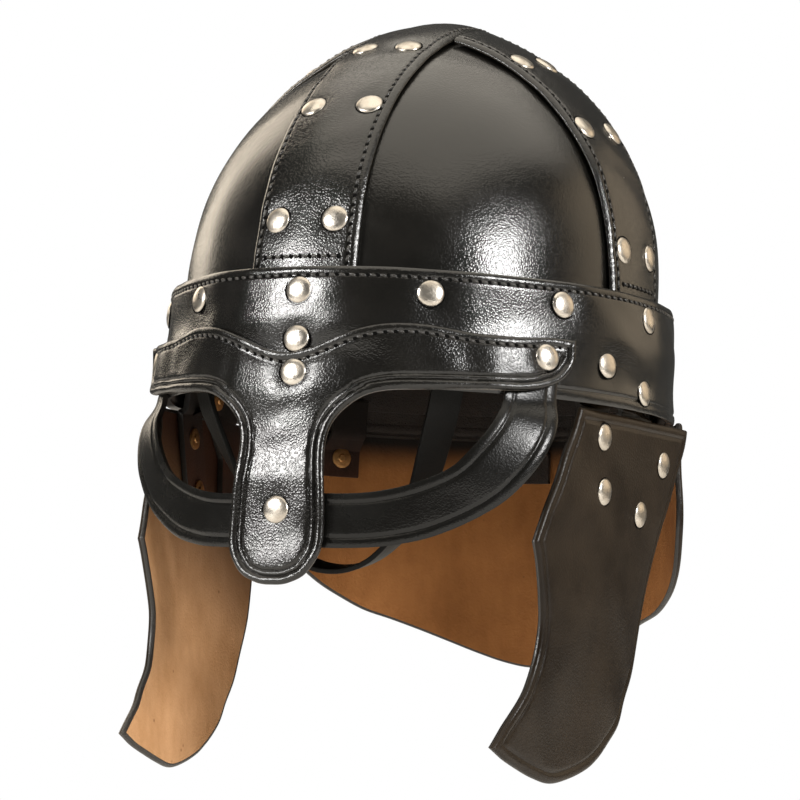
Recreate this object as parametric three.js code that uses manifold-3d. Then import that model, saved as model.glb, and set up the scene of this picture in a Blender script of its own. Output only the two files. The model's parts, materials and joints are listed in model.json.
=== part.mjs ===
// Leather viking helmet: a crown of four panels under a ridge strap and two side straps, a brow band,
// a visor with a nasal, an eye strip, two cheek guards and a neck guard on hanger straps, and a chin strap.
// Millimetres, +Z up, the face looks along -Y, and the origin is the middle of the head opening.
import * as THREE from "three";
import { mergeVertices } from "three/addons/utils/BufferGeometryUtils.js";
import Module from "manifold-3d";

// Crown: the outer face of its panels is the wall that every other piece is laid against
const HALF_WIDTH = 95;
const HALF_LENGTH = 109.25;
const BAND_HEIGHT = 43.8;
const CROWN_HEIGHT = 156;
const BAND_TAPER = 0.951;
const RISE_POWER = 2.456;
const ROUND_POWER = 1.405;
const CROWN_LEAN = 0.121;
const CROWN_BLUNT = 0.1;
const PANEL_FOOT = 10.8;
const PANEL_THICK = 2.7;

// Leather and the air left between two pieces that lie on each other
const GAP = 0.3;
const STRAP_SEAT = 0.65;
const BAND_SEAT = 0.6;
const VISOR_SEAT = 0.5;
const INSIDE_SEAT = 0.8;
const STRAP_THICK = 2.7;
const BAND_THICK = 2.8;
const VISOR_THICK = 2.7;
const EYE_STRIP_THICK = 2.5;
const EYE_STRIP_SKIVED = 1.2;
const GUARD_THICK = 3;
const HANGER_THICK = 2.2;
const CHIN_THICK = 2;

// Crown straps
const STRAP_FOOT = 28.5;
const RIDGE_HALF_FOOT = 21.3;
const RIDGE_HALF_TOP = 19.4;
const SIDE_STRAP_Y = -4;
const SIDE_HALF_FOOT = 20.6;
const SIDE_HALF_TOP = 19.2;

// Rivets: a domed cap, a shank through the leather and a burr washer on the flesh side
const CAP_RADIUS = 4.8;
const CAP_HEIGHT = 2.3;
const CAP_SHOULDER = 0.62;
const CAP_CREST = 0.72;
const CAP_ROOT = 0.6;
const SHANK_RADIUS = 1.4;
const HOLE_RADIUS = 2;
const WASHER_RADIUS = 4.2;
const WASHER_THICK = 1;
const WASHER_SEAT = 0.8;
const RIVET_SIDES = 6;
const CAP_SIDES = 6;
const HOLE_SIDES = 4;
const BAND_RIVETS = 12;
const BAND_RIVET_Z = 34.8;

// Chin strap
const CHIN_WIDTH = 12;
const CHIN_CANT = 25;

const wasm = await Module();
wasm.setup();
const rad = THREE.MathUtils.degToRad;
const smooth = THREE.MathUtils.smoothstep;
const lerp = THREE.MathUtils.lerp;
const clamp = THREE.MathUtils.clamp;
const vec = (x, y, z) => new THREE.Vector3(x, y, z);

// Wall of the helmet: below zero inside it, above zero outside it
const leanAt = (z) => CROWN_LEAN * Math.max(z - BAND_HEIGHT, 0);
const bandScale = (z) => 1 - (1 - BAND_TAPER) * clamp(z / BAND_HEIGHT, 0, 1);
const rounded = (share) => Math.hypot(share, CROWN_BLUNT) ** ROUND_POWER - CROWN_BLUNT ** ROUND_POWER;

function wallValue(p) {
  const around = Math.hypot(p.x / HALF_WIDTH, (p.y - leanAt(p.z)) / HALF_LENGTH);
  const rise = Math.max(p.z - BAND_HEIGHT, 0) / (CROWN_HEIGHT - BAND_HEIGHT);
  return rounded(around / bandScale(p.z)) / rounded(1) + rise ** RISE_POWER - 1;
}

const SLOPE_STEP = 0.02;
function wallNormal(p) {
  const slope = (axis) => {
    const way = vec(0, 0, 0).setComponent(axis, SLOPE_STEP);
    return wallValue(p.clone().add(way)) - wallValue(p.clone().sub(way));
  };
  return vec(slope(0), slope(1), slope(2)).normalize();
}

// Spot of the wall that a straight line from inside the helmet meets
const HALVINGS = 40;
function cast(from, way) {
  let near = 0;
  let far = CROWN_HEIGHT + HALF_LENGTH;
  for (let i = 0; i < HALVINGS; i++) {
    const middle = (near + far) / 2;
    if (wallValue(from.clone().addScaledVector(way, middle)) < 0) near = middle;
    else far = middle;
  }
  const p = from.clone().addScaledVector(way, near);
  return { p, n: wallNormal(p) };
}

// Spot of the wall at an angle from the front and a height below the dome
function wallAt(degrees, z) {
  const across = HALF_WIDTH * bandScale(z) * Math.sin(rad(degrees));
  const along = HALF_LENGTH * bandScale(z) * Math.cos(rad(degrees));
  const p = vec(across, -along, z);
  return { p, n: wallNormal(p) };
}

// Spot of a sheet between its inner and outer face, both measured out from the wall
const leaf = (spot, inner, thick) => ({
  inner: spot.p.clone().addScaledVector(spot.n, inner),
  outer: spot.p.clone().addScaledVector(spot.n, inner + thick),
});

// Faces of a grid of spots, row after row
function gridFaces(rows, cols, first, wrap) {
  const faces = [];
  for (let r = 0; r < rows - 1; r++)
    for (let c = 0; c < (wrap ? cols : cols - 1); c++) {
      const a = first + r * cols + c;
      const b = first + r * cols + ((c + 1) % cols);
      faces.push([a, b, b + cols], [a, b + cols, a + cols]);
    }
  return faces;
}

// Closed solid between the two faces of a sheet, walled round each free edge
function sheet(leaves, faces) {
  const count = leaves.length;
  const index = [];
  const used = new Set(faces.flatMap(([a, b, c]) => [a + "_" + b, b + "_" + c, c + "_" + a]));
  for (const [a, b, c] of faces) {
    index.push(a, b, c, count + a, count + c, count + b);
    for (const [m, n] of [
      [a, b],
      [b, c],
      [c, a],
    ])
      if (!used.has(n + "_" + m)) index.push(n, m, count + m, n, count + m, count + n);
  }
  const points = [...leaves.map((l) => l.outer), ...leaves.map((l) => l.inner)];
  return solid(points.flatMap((p) => p.toArray()), index);
}

function solid(numbers, index) {
  const vertProperties = new Float32Array(numbers);
  const triVerts = new Uint32Array(index);
  const made = new wasm.Manifold(new wasm.Mesh({ numProp: 3, vertProperties, triVerts }));
  if (made.volume() > 0) return made;
  const turned = [];
  for (let i = 0; i < index.length; i += 3) turned.push(index[i], index[i + 2], index[i + 1]);
  return solid(numbers, turned);
}

function solidOf(geometry) {
  geometry.deleteAttribute("normal");
  geometry.deleteAttribute("uv");
  const merged = mergeVertices(geometry, 1e-4);
  return solid([...merged.attributes.position.array], [...merged.index.array]);
}

const pieces = new Map();

// Crown panels: each fills one quarter between the seams that the straps cover
const PANEL_COLUMNS = 8;
const PANEL_RISES = [0, 13, 26, 39, 52, 65, 78];
for (const { name, side, face } of [
  { name: "crown_panel_front_left", side: 1, face: -1 },
  { name: "crown_panel_front_right", side: -1, face: -1 },
  { name: "crown_panel_back_left", side: 1, face: 1 },
  { name: "crown_panel_back_right", side: -1, face: 1 },
]) {
  const leaves = [];
  const heart = vec(side * GAP, SIDE_STRAP_Y + face * GAP, BAND_HEIGHT);
  const row = (from, rise) => {
    const flat = Math.cos(rad(rise));
    for (let c = 0; c <= PANEL_COLUMNS; c++) {
      const turn = rad((90 * c) / PANEL_COLUMNS);
      const way = vec(side * flat * Math.sin(turn), face * flat * Math.cos(turn), Math.sin(rad(rise)));
      leaves.push(leaf(cast(from, way), -PANEL_THICK, PANEL_THICK));
    }
  };
  row(heart.clone().setZ(PANEL_FOOT), 0);
  for (const rise of PANEL_RISES) row(heart, rise);
  const rows = PANEL_RISES.length + 1;
  const faces = gridFaces(rows, PANEL_COLUMNS + 1, 0, false);
  const top = leaves.length;
  leaves.push(leaf(cast(heart, vec(0, 0, 1)), -PANEL_THICK, PANEL_THICK));
  const last = top - PANEL_COLUMNS - 1;
  for (let c = 0; c < PANEL_COLUMNS; c++) faces.push([last + c, last + c + 1, top]);
  pieces.set(name, sheet(leaves, faces));
}

// Domed caps of the strap rivets, in pairs up each strap, made in one with it
const STRAP_RIVETS = [
  { rise: 11, aside: 11.4 },
  { rise: 42, aside: 11.4 },
  { rise: 69, aside: 9 },
];

function cap(spot, out) {
  const dome = new THREE.LatheGeometry(
    [
      new THREE.Vector2(0, -CAP_ROOT),
      new THREE.Vector2(CAP_RADIUS, -CAP_ROOT),
      new THREE.Vector2(CAP_SHOULDER * CAP_RADIUS, CAP_CREST * CAP_HEIGHT),
      new THREE.Vector2(0, CAP_HEIGHT),
    ],
    CAP_SIDES,
  );
  dome.applyQuaternion(new THREE.Quaternion().setFromUnitVectors(vec(0, 1, 0), spot.n));
  const at = spot.p.clone().addScaledVector(spot.n, out);
  return solidOf(dome.translate(at.x, at.y, at.z));
}

// Ridge strap: one length from the front of the band over the top to its back
const ACROSS = [-1, -0.35, 0.35, 1];
const STRAP_LIFT = STRAP_SEAT + STRAP_THICK;
const RIDGE_STATIONS = 30;
const ridgeHalf = (rise) => lerp(RIDGE_HALF_FOOT, RIDGE_HALF_TOP, Math.sin(rad(rise)));
const ridgeSpot = (rise, x) =>
  cast(vec(x, SIDE_STRAP_Y, BAND_HEIGHT), vec(0, -Math.cos(rad(rise)), Math.sin(rad(rise))));
{
  const leaves = [];
  const foot = (way) => {
    for (const share of ACROSS) {
      const spot = cast(vec(share * RIDGE_HALF_FOOT, 0, STRAP_FOOT), vec(0, way, 0));
      leaves.push(leaf(spot, STRAP_SEAT, STRAP_THICK));
    }
  };
  foot(-1);
  for (let i = 0; i <= RIDGE_STATIONS; i++) {
    const rise = (180 * i) / RIDGE_STATIONS;
    for (const share of ACROSS)
      leaves.push(leaf(ridgeSpot(rise, share * ridgeHalf(rise)), STRAP_SEAT, STRAP_THICK));
  }
  foot(1);
  let strap = sheet(leaves, gridFaces(RIDGE_STATIONS + 3, ACROSS.length, 0, false));
  for (const { rise, aside } of STRAP_RIVETS)
    for (const around of [rise, 180 - rise])
      for (const x of [-aside, aside]) strap = strap.add(cap(ridgeSpot(around, x), STRAP_LIFT));
  pieces.set("ridge_strap", strap);
}

// Side straps: from the band up to the edge of the ridge strap
const SIDE_STATIONS = 11;
const sideHalf = (rise) => lerp(SIDE_HALF_FOOT, SIDE_HALF_TOP, Math.sin(rad(rise)));
const sideSpot = (side, rise, y) =>
  cast(vec(0, SIDE_STRAP_Y + y, BAND_HEIGHT), vec(side * Math.cos(rad(rise)), 0, Math.sin(rad(rise))));

function sideEnd(side, y) {
  let low = 45;
  let high = 90;
  for (let i = 0; i < HALVINGS; i++) {
    const middle = (low + high) / 2;
    if (side * sideSpot(side, middle, y).p.x > RIDGE_HALF_TOP + 3 * GAP) low = middle;
    else high = middle;
  }
  return low;
}

for (const { name, side } of [
  { name: "side_strap_left", side: 1 },
  { name: "side_strap_right", side: -1 },
]) {
  const leaves = ACROSS.map((share) => {
    const spot = cast(vec(0, SIDE_STRAP_Y + share * SIDE_HALF_FOOT, STRAP_FOOT), vec(side, 0, 0));
    return leaf(spot, STRAP_SEAT, STRAP_THICK);
  });
  const ends = ACROSS.map((share) => sideEnd(side, share * SIDE_HALF_TOP));
  for (let i = 0; i <= SIDE_STATIONS; i++)
    ACROSS.forEach((share, c) => {
      const rise = (ends[c] * i) / SIDE_STATIONS;
      leaves.push(leaf(sideSpot(side, rise, share * sideHalf(rise)), STRAP_SEAT, STRAP_THICK));
    });
  let strap = sheet(leaves, gridFaces(SIDE_STATIONS + 2, ACROSS.length, 0, false));
  for (const { rise, aside } of STRAP_RIVETS)
    for (const y of [-aside, aside]) strap = strap.add(cap(sideSpot(side, rise, y), STRAP_LIFT));
  pieces.set(name, strap);
}

// Brow band: a ring over the feet of the straps, lifted where it passes over them
const LIFT_NEAR = 1;
const LIFT_FAR = 8;
const LIFT_FULL_Z = STRAP_FOOT - 1.5;
const LIFT_NONE_Z = LIFT_FULL_Z - 5.4;
const BAND_ROWS = [0, LIFT_NONE_Z, LIFT_FULL_Z, BAND_HEIGHT];
const BAND_ANGLES = [
  ...[0, 5, 10, 14.3, 18.7, 24, 30, 36, 42, 48, 54, 60, 66, 71.5, 75.7, 81, 87.8],
  ...[94, 99.8, 104, 110, 116, 122, 128, 134, 140, 146, 152, 157, 161.3, 165.7, 170, 175],
];

function bandLift(p) {
  const fromRidge = Math.abs(p.x) - RIDGE_HALF_FOOT;
  const fromSide = Math.abs(p.y - SIDE_STRAP_Y) - SIDE_HALF_FOOT;
  const near = 1 - smooth(Math.min(fromRidge, fromSide), LIFT_NEAR, LIFT_FAR);
  const high = clamp((p.z - LIFT_NONE_Z) / (LIFT_FULL_Z - LIFT_NONE_Z), 0, 1);
  return (STRAP_LIFT + BAND_SEAT - GAP) * near * high;
}

const bandLeaf = (degrees, z) => {
  const spot = wallAt(degrees, z);
  return leaf(spot, GAP + bandLift(spot.p), BAND_THICK);
};
{
  const other = BAND_ANGLES.slice(1).reverse().map((degrees) => 360 - degrees);
  const angles = [...BAND_ANGLES, 180, ...other];
  const leaves = BAND_ROWS.flatMap((z) => angles.map((degrees) => bandLeaf(degrees, z)));
  pieces.set("brow_band", sheet(leaves, gridFaces(BAND_ROWS.length, angles.length, 0, true)));
}

// Eye strip: one strip from temple to temple, under both eyes and behind the nasal
const EYE_STRIP = [
  { innerAngle: 47, innerZ: 19, outerAngle: 58, outerZ: 19, thick: 1, bulge: 0 },
  { innerAngle: 46.7, innerZ: 8, outerAngle: 58.4, outerZ: 8, thick: 1, bulge: 0 },
  { innerAngle: 46.2, innerZ: -1, outerAngle: 57.6, outerZ: -1.2, thick: 1.2, bulge: 0.3 },
  { innerAngle: 44.7, innerZ: -7.7, outerAngle: 56.2, outerZ: -9.5, thick: 2.4, bulge: 3 },
  { innerAngle: 42.4, innerZ: -14.2, outerAngle: 53.8, outerZ: -18.5, thick: 2.5, bulge: 4.6 },
  { innerAngle: 39.5, innerZ: -20.7, outerAngle: 50.6, outerZ: -28.8, thick: 2.5, bulge: 4.4 },
  { innerAngle: 35.7, innerZ: -27.5, outerAngle: 46, outerZ: -38.8, thick: 2.5, bulge: 3 },
  { innerAngle: 30.8, innerZ: -32.3, outerAngle: 39.6, outerZ: -47, thick: 2.5, bulge: 1.4 },
  { innerAngle: 25.2, innerZ: -35.9, outerAngle: 31.2, outerZ: -54, thick: 2.5, bulge: 0 },
  { innerAngle: 19.2, innerZ: -38.2, outerAngle: 22.5, outerZ: -57.6, thick: 2.5, bulge: 0 },
  { innerAngle: 13.6, innerZ: -39, outerAngle: 15, outerZ: -58.7, thick: 2.5, bulge: 0 },
  { innerAngle: 7, innerZ: -39, outerAngle: 7.4, outerZ: -58.8, thick: 2.5, bulge: 0 },
  { innerAngle: 0, innerZ: -39, outerAngle: 0, outerZ: -58.8, thick: 2.5, bulge: 0 },
];
const EYE_STRIP_LIFT = GAP + BAND_THICK + GAP;
{
  const stations = [
    ...EYE_STRIP.map((row) => ({ ...row, side: 1 })),
    ...EYE_STRIP.slice(0, -1).reverse().map((row) => ({ ...row, side: -1 })),
  ];
  const leaves = stations.flatMap((row) =>
    [0, 0.5, 1].map((share) => {
      const degrees = row.side * lerp(row.innerAngle, row.outerAngle, share);
      const spot = wallAt(degrees, lerp(row.innerZ, row.outerZ, share));
      return leaf(spot, EYE_STRIP_LIFT + row.bulge, row.thick);
    }),
  );
  pieces.set("eye_strip", sheet(leaves, gridFaces(stations.length, 3, 0, false)));
}

// Visor: the brow plate with its two eye arches, and the nasal that hangs from its middle
const VISOR_BROW = [
  { angle: 0, top: 11.8, foot: -16.3 },
  { angle: 5.1, top: 13.4, foot: -16.3 },
  { angle: 10.2, top: 16.9, foot: -16.3 },
  { angle: 11.6, top: 17.9, foot: -11.4 },
  { angle: 14.2, top: 19.5, foot: -6.8 },
  { angle: 17.7, top: 21.4, foot: -3 },
  { angle: 21.7, top: 22.7, foot: -1.2 },
  { angle: 27, top: 23.2, foot: -0.5 },
  { angle: 33, top: 22.5, foot: -0.1 },
  { angle: 40, top: 21, foot: 0.2 },
  { angle: 46, top: 20.6, foot: 0.4 },
  { angle: 51, top: 20.9, foot: 1.1 },
  { angle: 55, top: 21.4, foot: 3 },
  { angle: 58, top: 21.7, foot: 5.6 },
  { angle: 60.2, top: 21, foot: 9.6 },
  { angle: 61.4, top: 18.6, foot: 13.8 },
];
const NASAL = [
  { z: -23, halfAngle: 9.65 },
  { z: -31, halfAngle: 9.9 },
  { z: -39, halfAngle: 10.2 },
  { z: -49, halfAngle: 10.45 },
  { z: -58, halfAngle: 10.3 },
  { z: -63.5, halfAngle: 9.2 },
  { z: -69, halfAngle: 6.9 },
  { z: -71.7, halfAngle: 3.9 },
  { z: -72.6, halfAngle: 1.6 },
];
const NASAL_COLUMNS = [-1, -0.5, 0, 0.5, 1];
const VISOR_ROWS = 3;
const TEMPLE_LIFT = { from: 37, full: 45 };
const NOSE_LIFT = { full: -37, from: -8 };

function visorLeaf(degrees, z) {
  const overTemple = smooth(Math.abs(degrees), TEMPLE_LIFT.from, TEMPLE_LIFT.full) * (EYE_STRIP_SKIVED + GAP);
  const overNose = (1 - smooth(z, NOSE_LIFT.full, NOSE_LIFT.from)) * (EYE_STRIP_THICK + GAP);
  const spot = wallAt(degrees, z);
  const lift = GAP + bandLift(spot.p) + BAND_THICK + VISOR_SEAT + overTemple + overNose;
  return leaf(spot, lift, VISOR_THICK);
}
{
  const plan = [
    ...VISOR_BROW.slice(1).reverse().map((row) => ({ ...row, angle: -row.angle })),
    ...VISOR_BROW,
  ];
  const leaves = [];
  for (let r = 0; r < VISOR_ROWS; r++)
    for (const { angle, top, foot } of plan)
      leaves.push(visorLeaf(angle, lerp(top, foot, r / (VISOR_ROWS - 1))));
  const faces = gridFaces(VISOR_ROWS, plan.length, 0, false);
  const middle = VISOR_BROW.length - 1;
  const lastRow = (VISOR_ROWS - 1) * plan.length;
  const reach = (NASAL_COLUMNS.length - 1) / 2;
  let above = NASAL_COLUMNS.map((_, c) => lastRow + middle - reach + c);
  for (const { z, halfAngle } of NASAL) {
    const below = NASAL_COLUMNS.map((share) => leaves.push(visorLeaf(share * halfAngle, z)) - 1);
    for (let c = 0; c < below.length - 1; c++)
      faces.push([above[c], above[c + 1], below[c + 1]], [above[c], below[c + 1], below[c]]);
    above = below;
  }
  pieces.set("visor", sheet(leaves, faces));
}

// Cheek guards: sabre-shaped flaps that lean in towards the jaw and curl round its back
const CHEEK_X = 94.9;
const CHEEK_TOE_IN = 0.1015;
const CHEEK_LEAN = 0.0583;
const CHEEK_CURL_TOP = 0.0006;
const CHEEK_CURL_LOW = 0.003;
const CHEEK_CURL_FROM = -18;
const CHEEK_CURL_DEPTH = 80;
const CHEEK_ROWS = [
  { z: -2, front: -48, rear: 43 },
  { z: -11.5, front: -51, rear: 41.5 },
  { z: -20.5, front: -56, rear: 39 },
  { z: -30, front: -60.5, rear: 36 },
  { z: -39.5, front: -66, rear: 32.5 },
  { z: -46.5, front: -69.3, rear: 30.5 },
  { z: -53.5, front: -72.4, rear: 28.5 },
  { z: -60, front: -69.2, rear: 27 },
  { z: -74, front: -65, rear: 23.5 },
  { z: -83.5, front: -63, rear: 21 },
  { z: -94.5, front: -64.3, rear: 17 },
  { z: -104, front: -69, rear: 12.5 },
  { z: -115, front: -77.6, rear: 5.5 },
  { z: -121.5, front: -84.2, rear: 0.5 },
  { z: -128.5, front: -91.6, rear: -8 },
  { z: -132.5, front: -82, rear: -14.5 },
  { z: -136, front: -70.5, rear: -22 },
  { z: -139.2, front: -58.5, rear: -33.5 },
  { z: -141, front: -50, rear: -43 },
];
const CHEEK_COLUMNS = 5;

function cheekSpot(side, y, z) {
  const past = Math.max(y - CHEEK_CURL_FROM, 0);
  const curl = lerp(CHEEK_CURL_TOP, CHEEK_CURL_LOW, smooth(-z, 0, CHEEK_CURL_DEPTH));
  const x = CHEEK_X + CHEEK_TOE_IN * y + CHEEK_LEAN * z - curl * past * past;
  const n = vec(side, 2 * curl * past - CHEEK_TOE_IN, -CHEEK_LEAN).normalize();
  return { p: vec(side * x, y, z), n };
}

for (const { name, side } of [
  { name: "cheek_guard_left", side: 1 },
  { name: "cheek_guard_right", side: -1 },
]) {
  const leaves = CHEEK_ROWS.flatMap(({ z, front, rear }) =>
    Array.from({ length: CHEEK_COLUMNS }, (_, c) =>
      leaf(cheekSpot(side, lerp(front, rear, c / (CHEEK_COLUMNS - 1)), z), -GUARD_THICK, GUARD_THICK),
    ),
  );
  pieces.set(name, sheet(leaves, gridFaces(CHEEK_ROWS.length, CHEEK_COLUMNS, 0, false)));
}

// Neck guard: a wide flap round the back, longest in the middle
const NECK_FLARE = 0.04;
const NECK_LIFT = GAP + BAND_THICK + 2 * GAP;
const NECK_SHAPE = [
  { fromBack: 0, top: 1.5, foot: -95 },
  { fromBack: 6.5, top: 1.5, foot: -93.2 },
  { fromBack: 13, top: 1.5, foot: -89.6 },
  { fromBack: 20, top: 1.5, foot: -85 },
  { fromBack: 27, top: 1.5, foot: -80.4 },
  { fromBack: 33.5, top: 1.5, foot: -76.5 },
  { fromBack: 40, top: 1.5, foot: -73 },
  { fromBack: 46, top: 1.5, foot: -67.8 },
  { fromBack: 51, top: 1.5, foot: -62.8 },
  { fromBack: 55.5, top: 1.5, foot: -56.8 },
  { fromBack: 59, top: 1.4, foot: -49.8 },
  { fromBack: 61.2, top: 1, foot: -42 },
  { fromBack: 62, top: -0.5, foot: -36 },
];
const NECK_ROWS = 4;
const neckSpot = (degrees, z) => {
  const spot = wallAt(degrees, z);
  spot.p.addScaledVector(spot.n, -NECK_FLARE * Math.min(z, 0));
  return spot;
};
{
  const plan = [
    ...NECK_SHAPE.slice(1).reverse().map((row) => ({ ...row, fromBack: -row.fromBack })),
    ...NECK_SHAPE,
  ];
  const leaves = [];
  for (let r = 0; r < NECK_ROWS; r++)
    for (const { fromBack, top, foot } of plan) {
      const spot = neckSpot(180 + fromBack, lerp(top, foot, r / (NECK_ROWS - 1)));
      leaves.push(leaf(spot, NECK_LIFT, GUARD_THICK));
    }
  pieces.set("neck_guard", sheet(leaves, gridFaces(NECK_ROWS, plan.length, 0, false)));
}

// Hanger straps: short straps on the flesh side, riveted to the band above and to a guard below
const HANGER_LIFT = -PANEL_THICK - INSIDE_SEAT - HANGER_THICK;
const HANGER_ACROSS = [-1, 0, 1];
const CHEEK_HANGERS = [
  {
    part: "front",
    rows: [
      { z: 21, middle: -33.5, half: 8.5 },
      { z: 1.2, middle: -31, half: 9.5 },
      { z: -1.6, middle: -30.7, half: 9.5 },
      { z: -20, middle: -28, half: 9.5 },
      { z: -38.5, middle: -25.3, half: 8.5 },
    ],
  },
  {
    part: "rear",
    rows: [
      { z: 14, middle: -5.5, half: 9 },
      { z: 1.2, middle: 0.5, half: 12 },
      { z: -1.6, middle: 2, half: 13 },
      { z: -17, middle: 15, half: 15.5 },
      { z: -27, middle: 13, half: 14.5 },
      { z: -45, middle: 6.5, half: 9 },
    ],
  },
];
const NECK_HANGERS = [
  { part: "left", angle: 132 },
  { part: "back", angle: 180 },
  { part: "right", angle: 228 },
];
const NECK_HANGER_ROWS = [
  { z: 15, onGuard: 0 },
  { z: 1, onGuard: 0 },
  { z: -5.5, onGuard: 1 },
  { z: -17.5, onGuard: 1 },
];
const NECK_HANGER_HALF = 4.6;

for (const { name, side } of [
  { name: "left", side: 1 },
  { name: "right", side: -1 },
])
  for (const { part, rows } of CHEEK_HANGERS) {
    const leaves = rows.flatMap(({ z, middle, half }) =>
      HANGER_ACROSS.map((share) => {
        const y = middle + share * half;
        if (z > 0) return leaf(cast(vec(0, y, z), vec(side, 0, 0)), HANGER_LIFT, HANGER_THICK);
        return leaf(cheekSpot(side, y, z), -GUARD_THICK - 2 * GAP - HANGER_THICK, HANGER_THICK);
      }),
    );
    const faces = gridFaces(rows.length, HANGER_ACROSS.length, 0, false);
    pieces.set("cheek_hanger_" + part + "_" + name, sheet(leaves, faces));
  }
for (const { part, angle } of NECK_HANGERS) {
  const leaves = NECK_HANGER_ROWS.flatMap(({ z, onGuard }) =>
    HANGER_ACROSS.map((share) => {
      const inner = onGuard ? NECK_LIFT - GAP - HANGER_THICK : HANGER_LIFT;
      return leaf(neckSpot(angle + share * NECK_HANGER_HALF, z), inner, HANGER_THICK);
    }),
  );
  const faces = gridFaces(NECK_HANGER_ROWS.length, HANGER_ACROSS.length, 0, false);
  pieces.set("neck_hanger_" + part, sheet(leaves, faces));
}

// Chin strap: a loop sewn inside the band above both eyes, that hangs in front of the chin
const CHIN_SEWN = [25, 11];
const CHIN_PATH = [
  { x: 49.5, y: -82.5, z: -4 },
  { x: 43.5, y: -78, z: -20 },
  { x: 36.5, y: -73, z: -36 },
  { x: 27.5, y: -69, z: -50 },
  { x: 14.5, y: -66.8, z: -60.5 },
  { x: 0, y: -66, z: -64 },
];
const CHIN_STATIONS = 26;
const CHIN_FLAT_ANGLE = 36;
const CHIN_TWIST = { from: 0.1, full: 0.75 };
{
  const inside = -PANEL_THICK - INSIDE_SEAT - GAP - CHIN_THICK / 2;
  const half = CHIN_SEWN.map((z) => {
    const spot = wallAt(CHIN_FLAT_ANGLE, z);
    return spot.p.addScaledVector(spot.n, inside);
  });
  half.push(...CHIN_PATH.map(({ x, y, z }) => vec(x, y, z)));
  const other = half.slice(0, -1).reverse().map((p) => vec(-p.x, p.y, p.z));
  const curve = new THREE.CatmullRomCurve3([...half, ...other], false, "centripetal");
  const level = vec(0, Math.cos(rad(CHIN_CANT)), Math.sin(rad(CHIN_CANT)));
  const wall = wallAt(CHIN_FLAT_ANGLE, 0).n;
  const leaves = [];
  for (let i = 0; i <= CHIN_STATIONS; i++) {
    const share = i / CHIN_STATIONS;
    const p = curve.getPointAt(share);
    const along = curve.getTangentAt(share);
    const side = share < 0.5 ? 1 : -1;
    const flat = vec(-side * wall.y, wall.x, 0);
    const twist = smooth(Math.abs(2 * share - 1), CHIN_TWIST.from, CHIN_TWIST.full);
    const across = level.clone().lerp(flat, twist);
    across.addScaledVector(along, -across.dot(along)).normalize();
    const n = along.clone().cross(across);
    for (const edge of [-CHIN_WIDTH / 2, CHIN_WIDTH / 2]) {
      const spot = { p: p.clone().addScaledVector(across, edge), n };
      leaves.push(leaf(spot, -CHIN_THICK / 2, CHIN_THICK));
    }
  }
  pieces.set("chin_strap", sheet(leaves, gridFaces(CHIN_STATIONS + 1, 2, 0, false)));
}

// Rivets: each is set from outside through the leather it holds
const BAND_RIVET_TURNS = [
  { turn: 0, angle: 1.4 },
  { turn: 90, angle: 87.8 },
  { turn: 270, angle: 272.2 },
];
const FRONT_RIVETS = [
  { name: "brow_rivet", angle: 1.6, z: 16.8, layers: ["brow_band"] },
  { name: "visor_rivet_middle", angle: 1.6, z: 4.4, layers: ["visor", "brow_band"] },
  { name: "visor_rivet_left", angle: 55, z: 13.8, layers: ["visor", "eye_strip", "brow_band"] },
  { name: "visor_rivet_right", angle: -55, z: 13.8, layers: ["visor", "eye_strip", "brow_band"] },
  { name: "nasal_rivet", angle: 0, z: -45.4, layers: ["visor", "eye_strip"] },
];
const panels = [...pieces.keys()].filter((name) => name.startsWith("crown_panel"));
const straps = ["ridge_strap", "side_strap_left", "side_strap_right"];
const rivets = [];
for (let i = 0; i < BAND_RIVETS; i++) {
  const turn = (360 * i) / BAND_RIVETS;
  const set = BAND_RIVET_TURNS.find((row) => row.turn === turn) ?? { angle: turn };
  rivets.push({
    name: "band_rivet_" + turn,
    spot: wallAt(set.angle, BAND_RIVET_Z),
    through: ["brow_band", ...straps, ...panels],
  });
}
for (const { name, angle, z, layers } of FRONT_RIVETS)
  rivets.push({ name, spot: wallAt(angle, z), through: z > PANEL_FOOT ? [...layers, ...panels] : layers });
const CHEEK_RIVETS = [
  { part: "front_upper", strap: "front", y: -29, z: -11.2 },
  { part: "front_lower", strap: "front", y: -25, z: -31.5 },
  { part: "rear_upper", strap: "rear", y: 23, z: -17.3 },
  { part: "rear_lower", strap: "rear", y: 6, z: -37.7 },
];
const CHEEK_BAND_RIVETS = [
  { strap: "front", angle: 72.6, z: 14.8 },
  { strap: "rear", angle: 87.3, z: 7.2 },
];
const NECK_RIVET_Z = { band: 6.6, guard: -9.6 };
for (const { name, side } of [
  { name: "left", side: 1 },
  { name: "right", side: -1 },
]) {
  for (const { part, strap, y, z } of CHEEK_RIVETS)
    rivets.push({
      name: "cheek_rivet_" + part + "_" + name,
      spot: cheekSpot(side, y, z),
      through: ["cheek_guard_" + name, "cheek_hanger_" + strap + "_" + name],
    });
  for (const { strap, angle, z } of CHEEK_BAND_RIVETS)
    rivets.push({
      name: "hanger_rivet_" + strap + "_" + name,
      spot: wallAt(side * angle, z),
      through: ["brow_band", "cheek_hanger_" + strap + "_" + name, ...panels],
    });
}
for (const { part, angle } of NECK_HANGERS)
  rivets.push(
    {
      name: "neck_band_rivet_" + part,
      spot: wallAt(angle, NECK_RIVET_Z.band),
      through: ["brow_band", "neck_hanger_" + part],
    },
    {
      name: "neck_rivet_" + part,
      spot: neckSpot(angle, NECK_RIVET_Z.guard),
      through: ["neck_guard", "neck_hanger_" + part],
    },
  );

function geometryOf(made) {
  const mesh = made.getMesh();
  const geometry = new THREE.BufferGeometry();
  geometry.setAttribute("position", new THREE.BufferAttribute(mesh.vertProperties.slice(), 3));
  geometry.setIndex(new THREE.BufferAttribute(mesh.triVerts.slice(), 1));
  return geometry;
}

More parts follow.
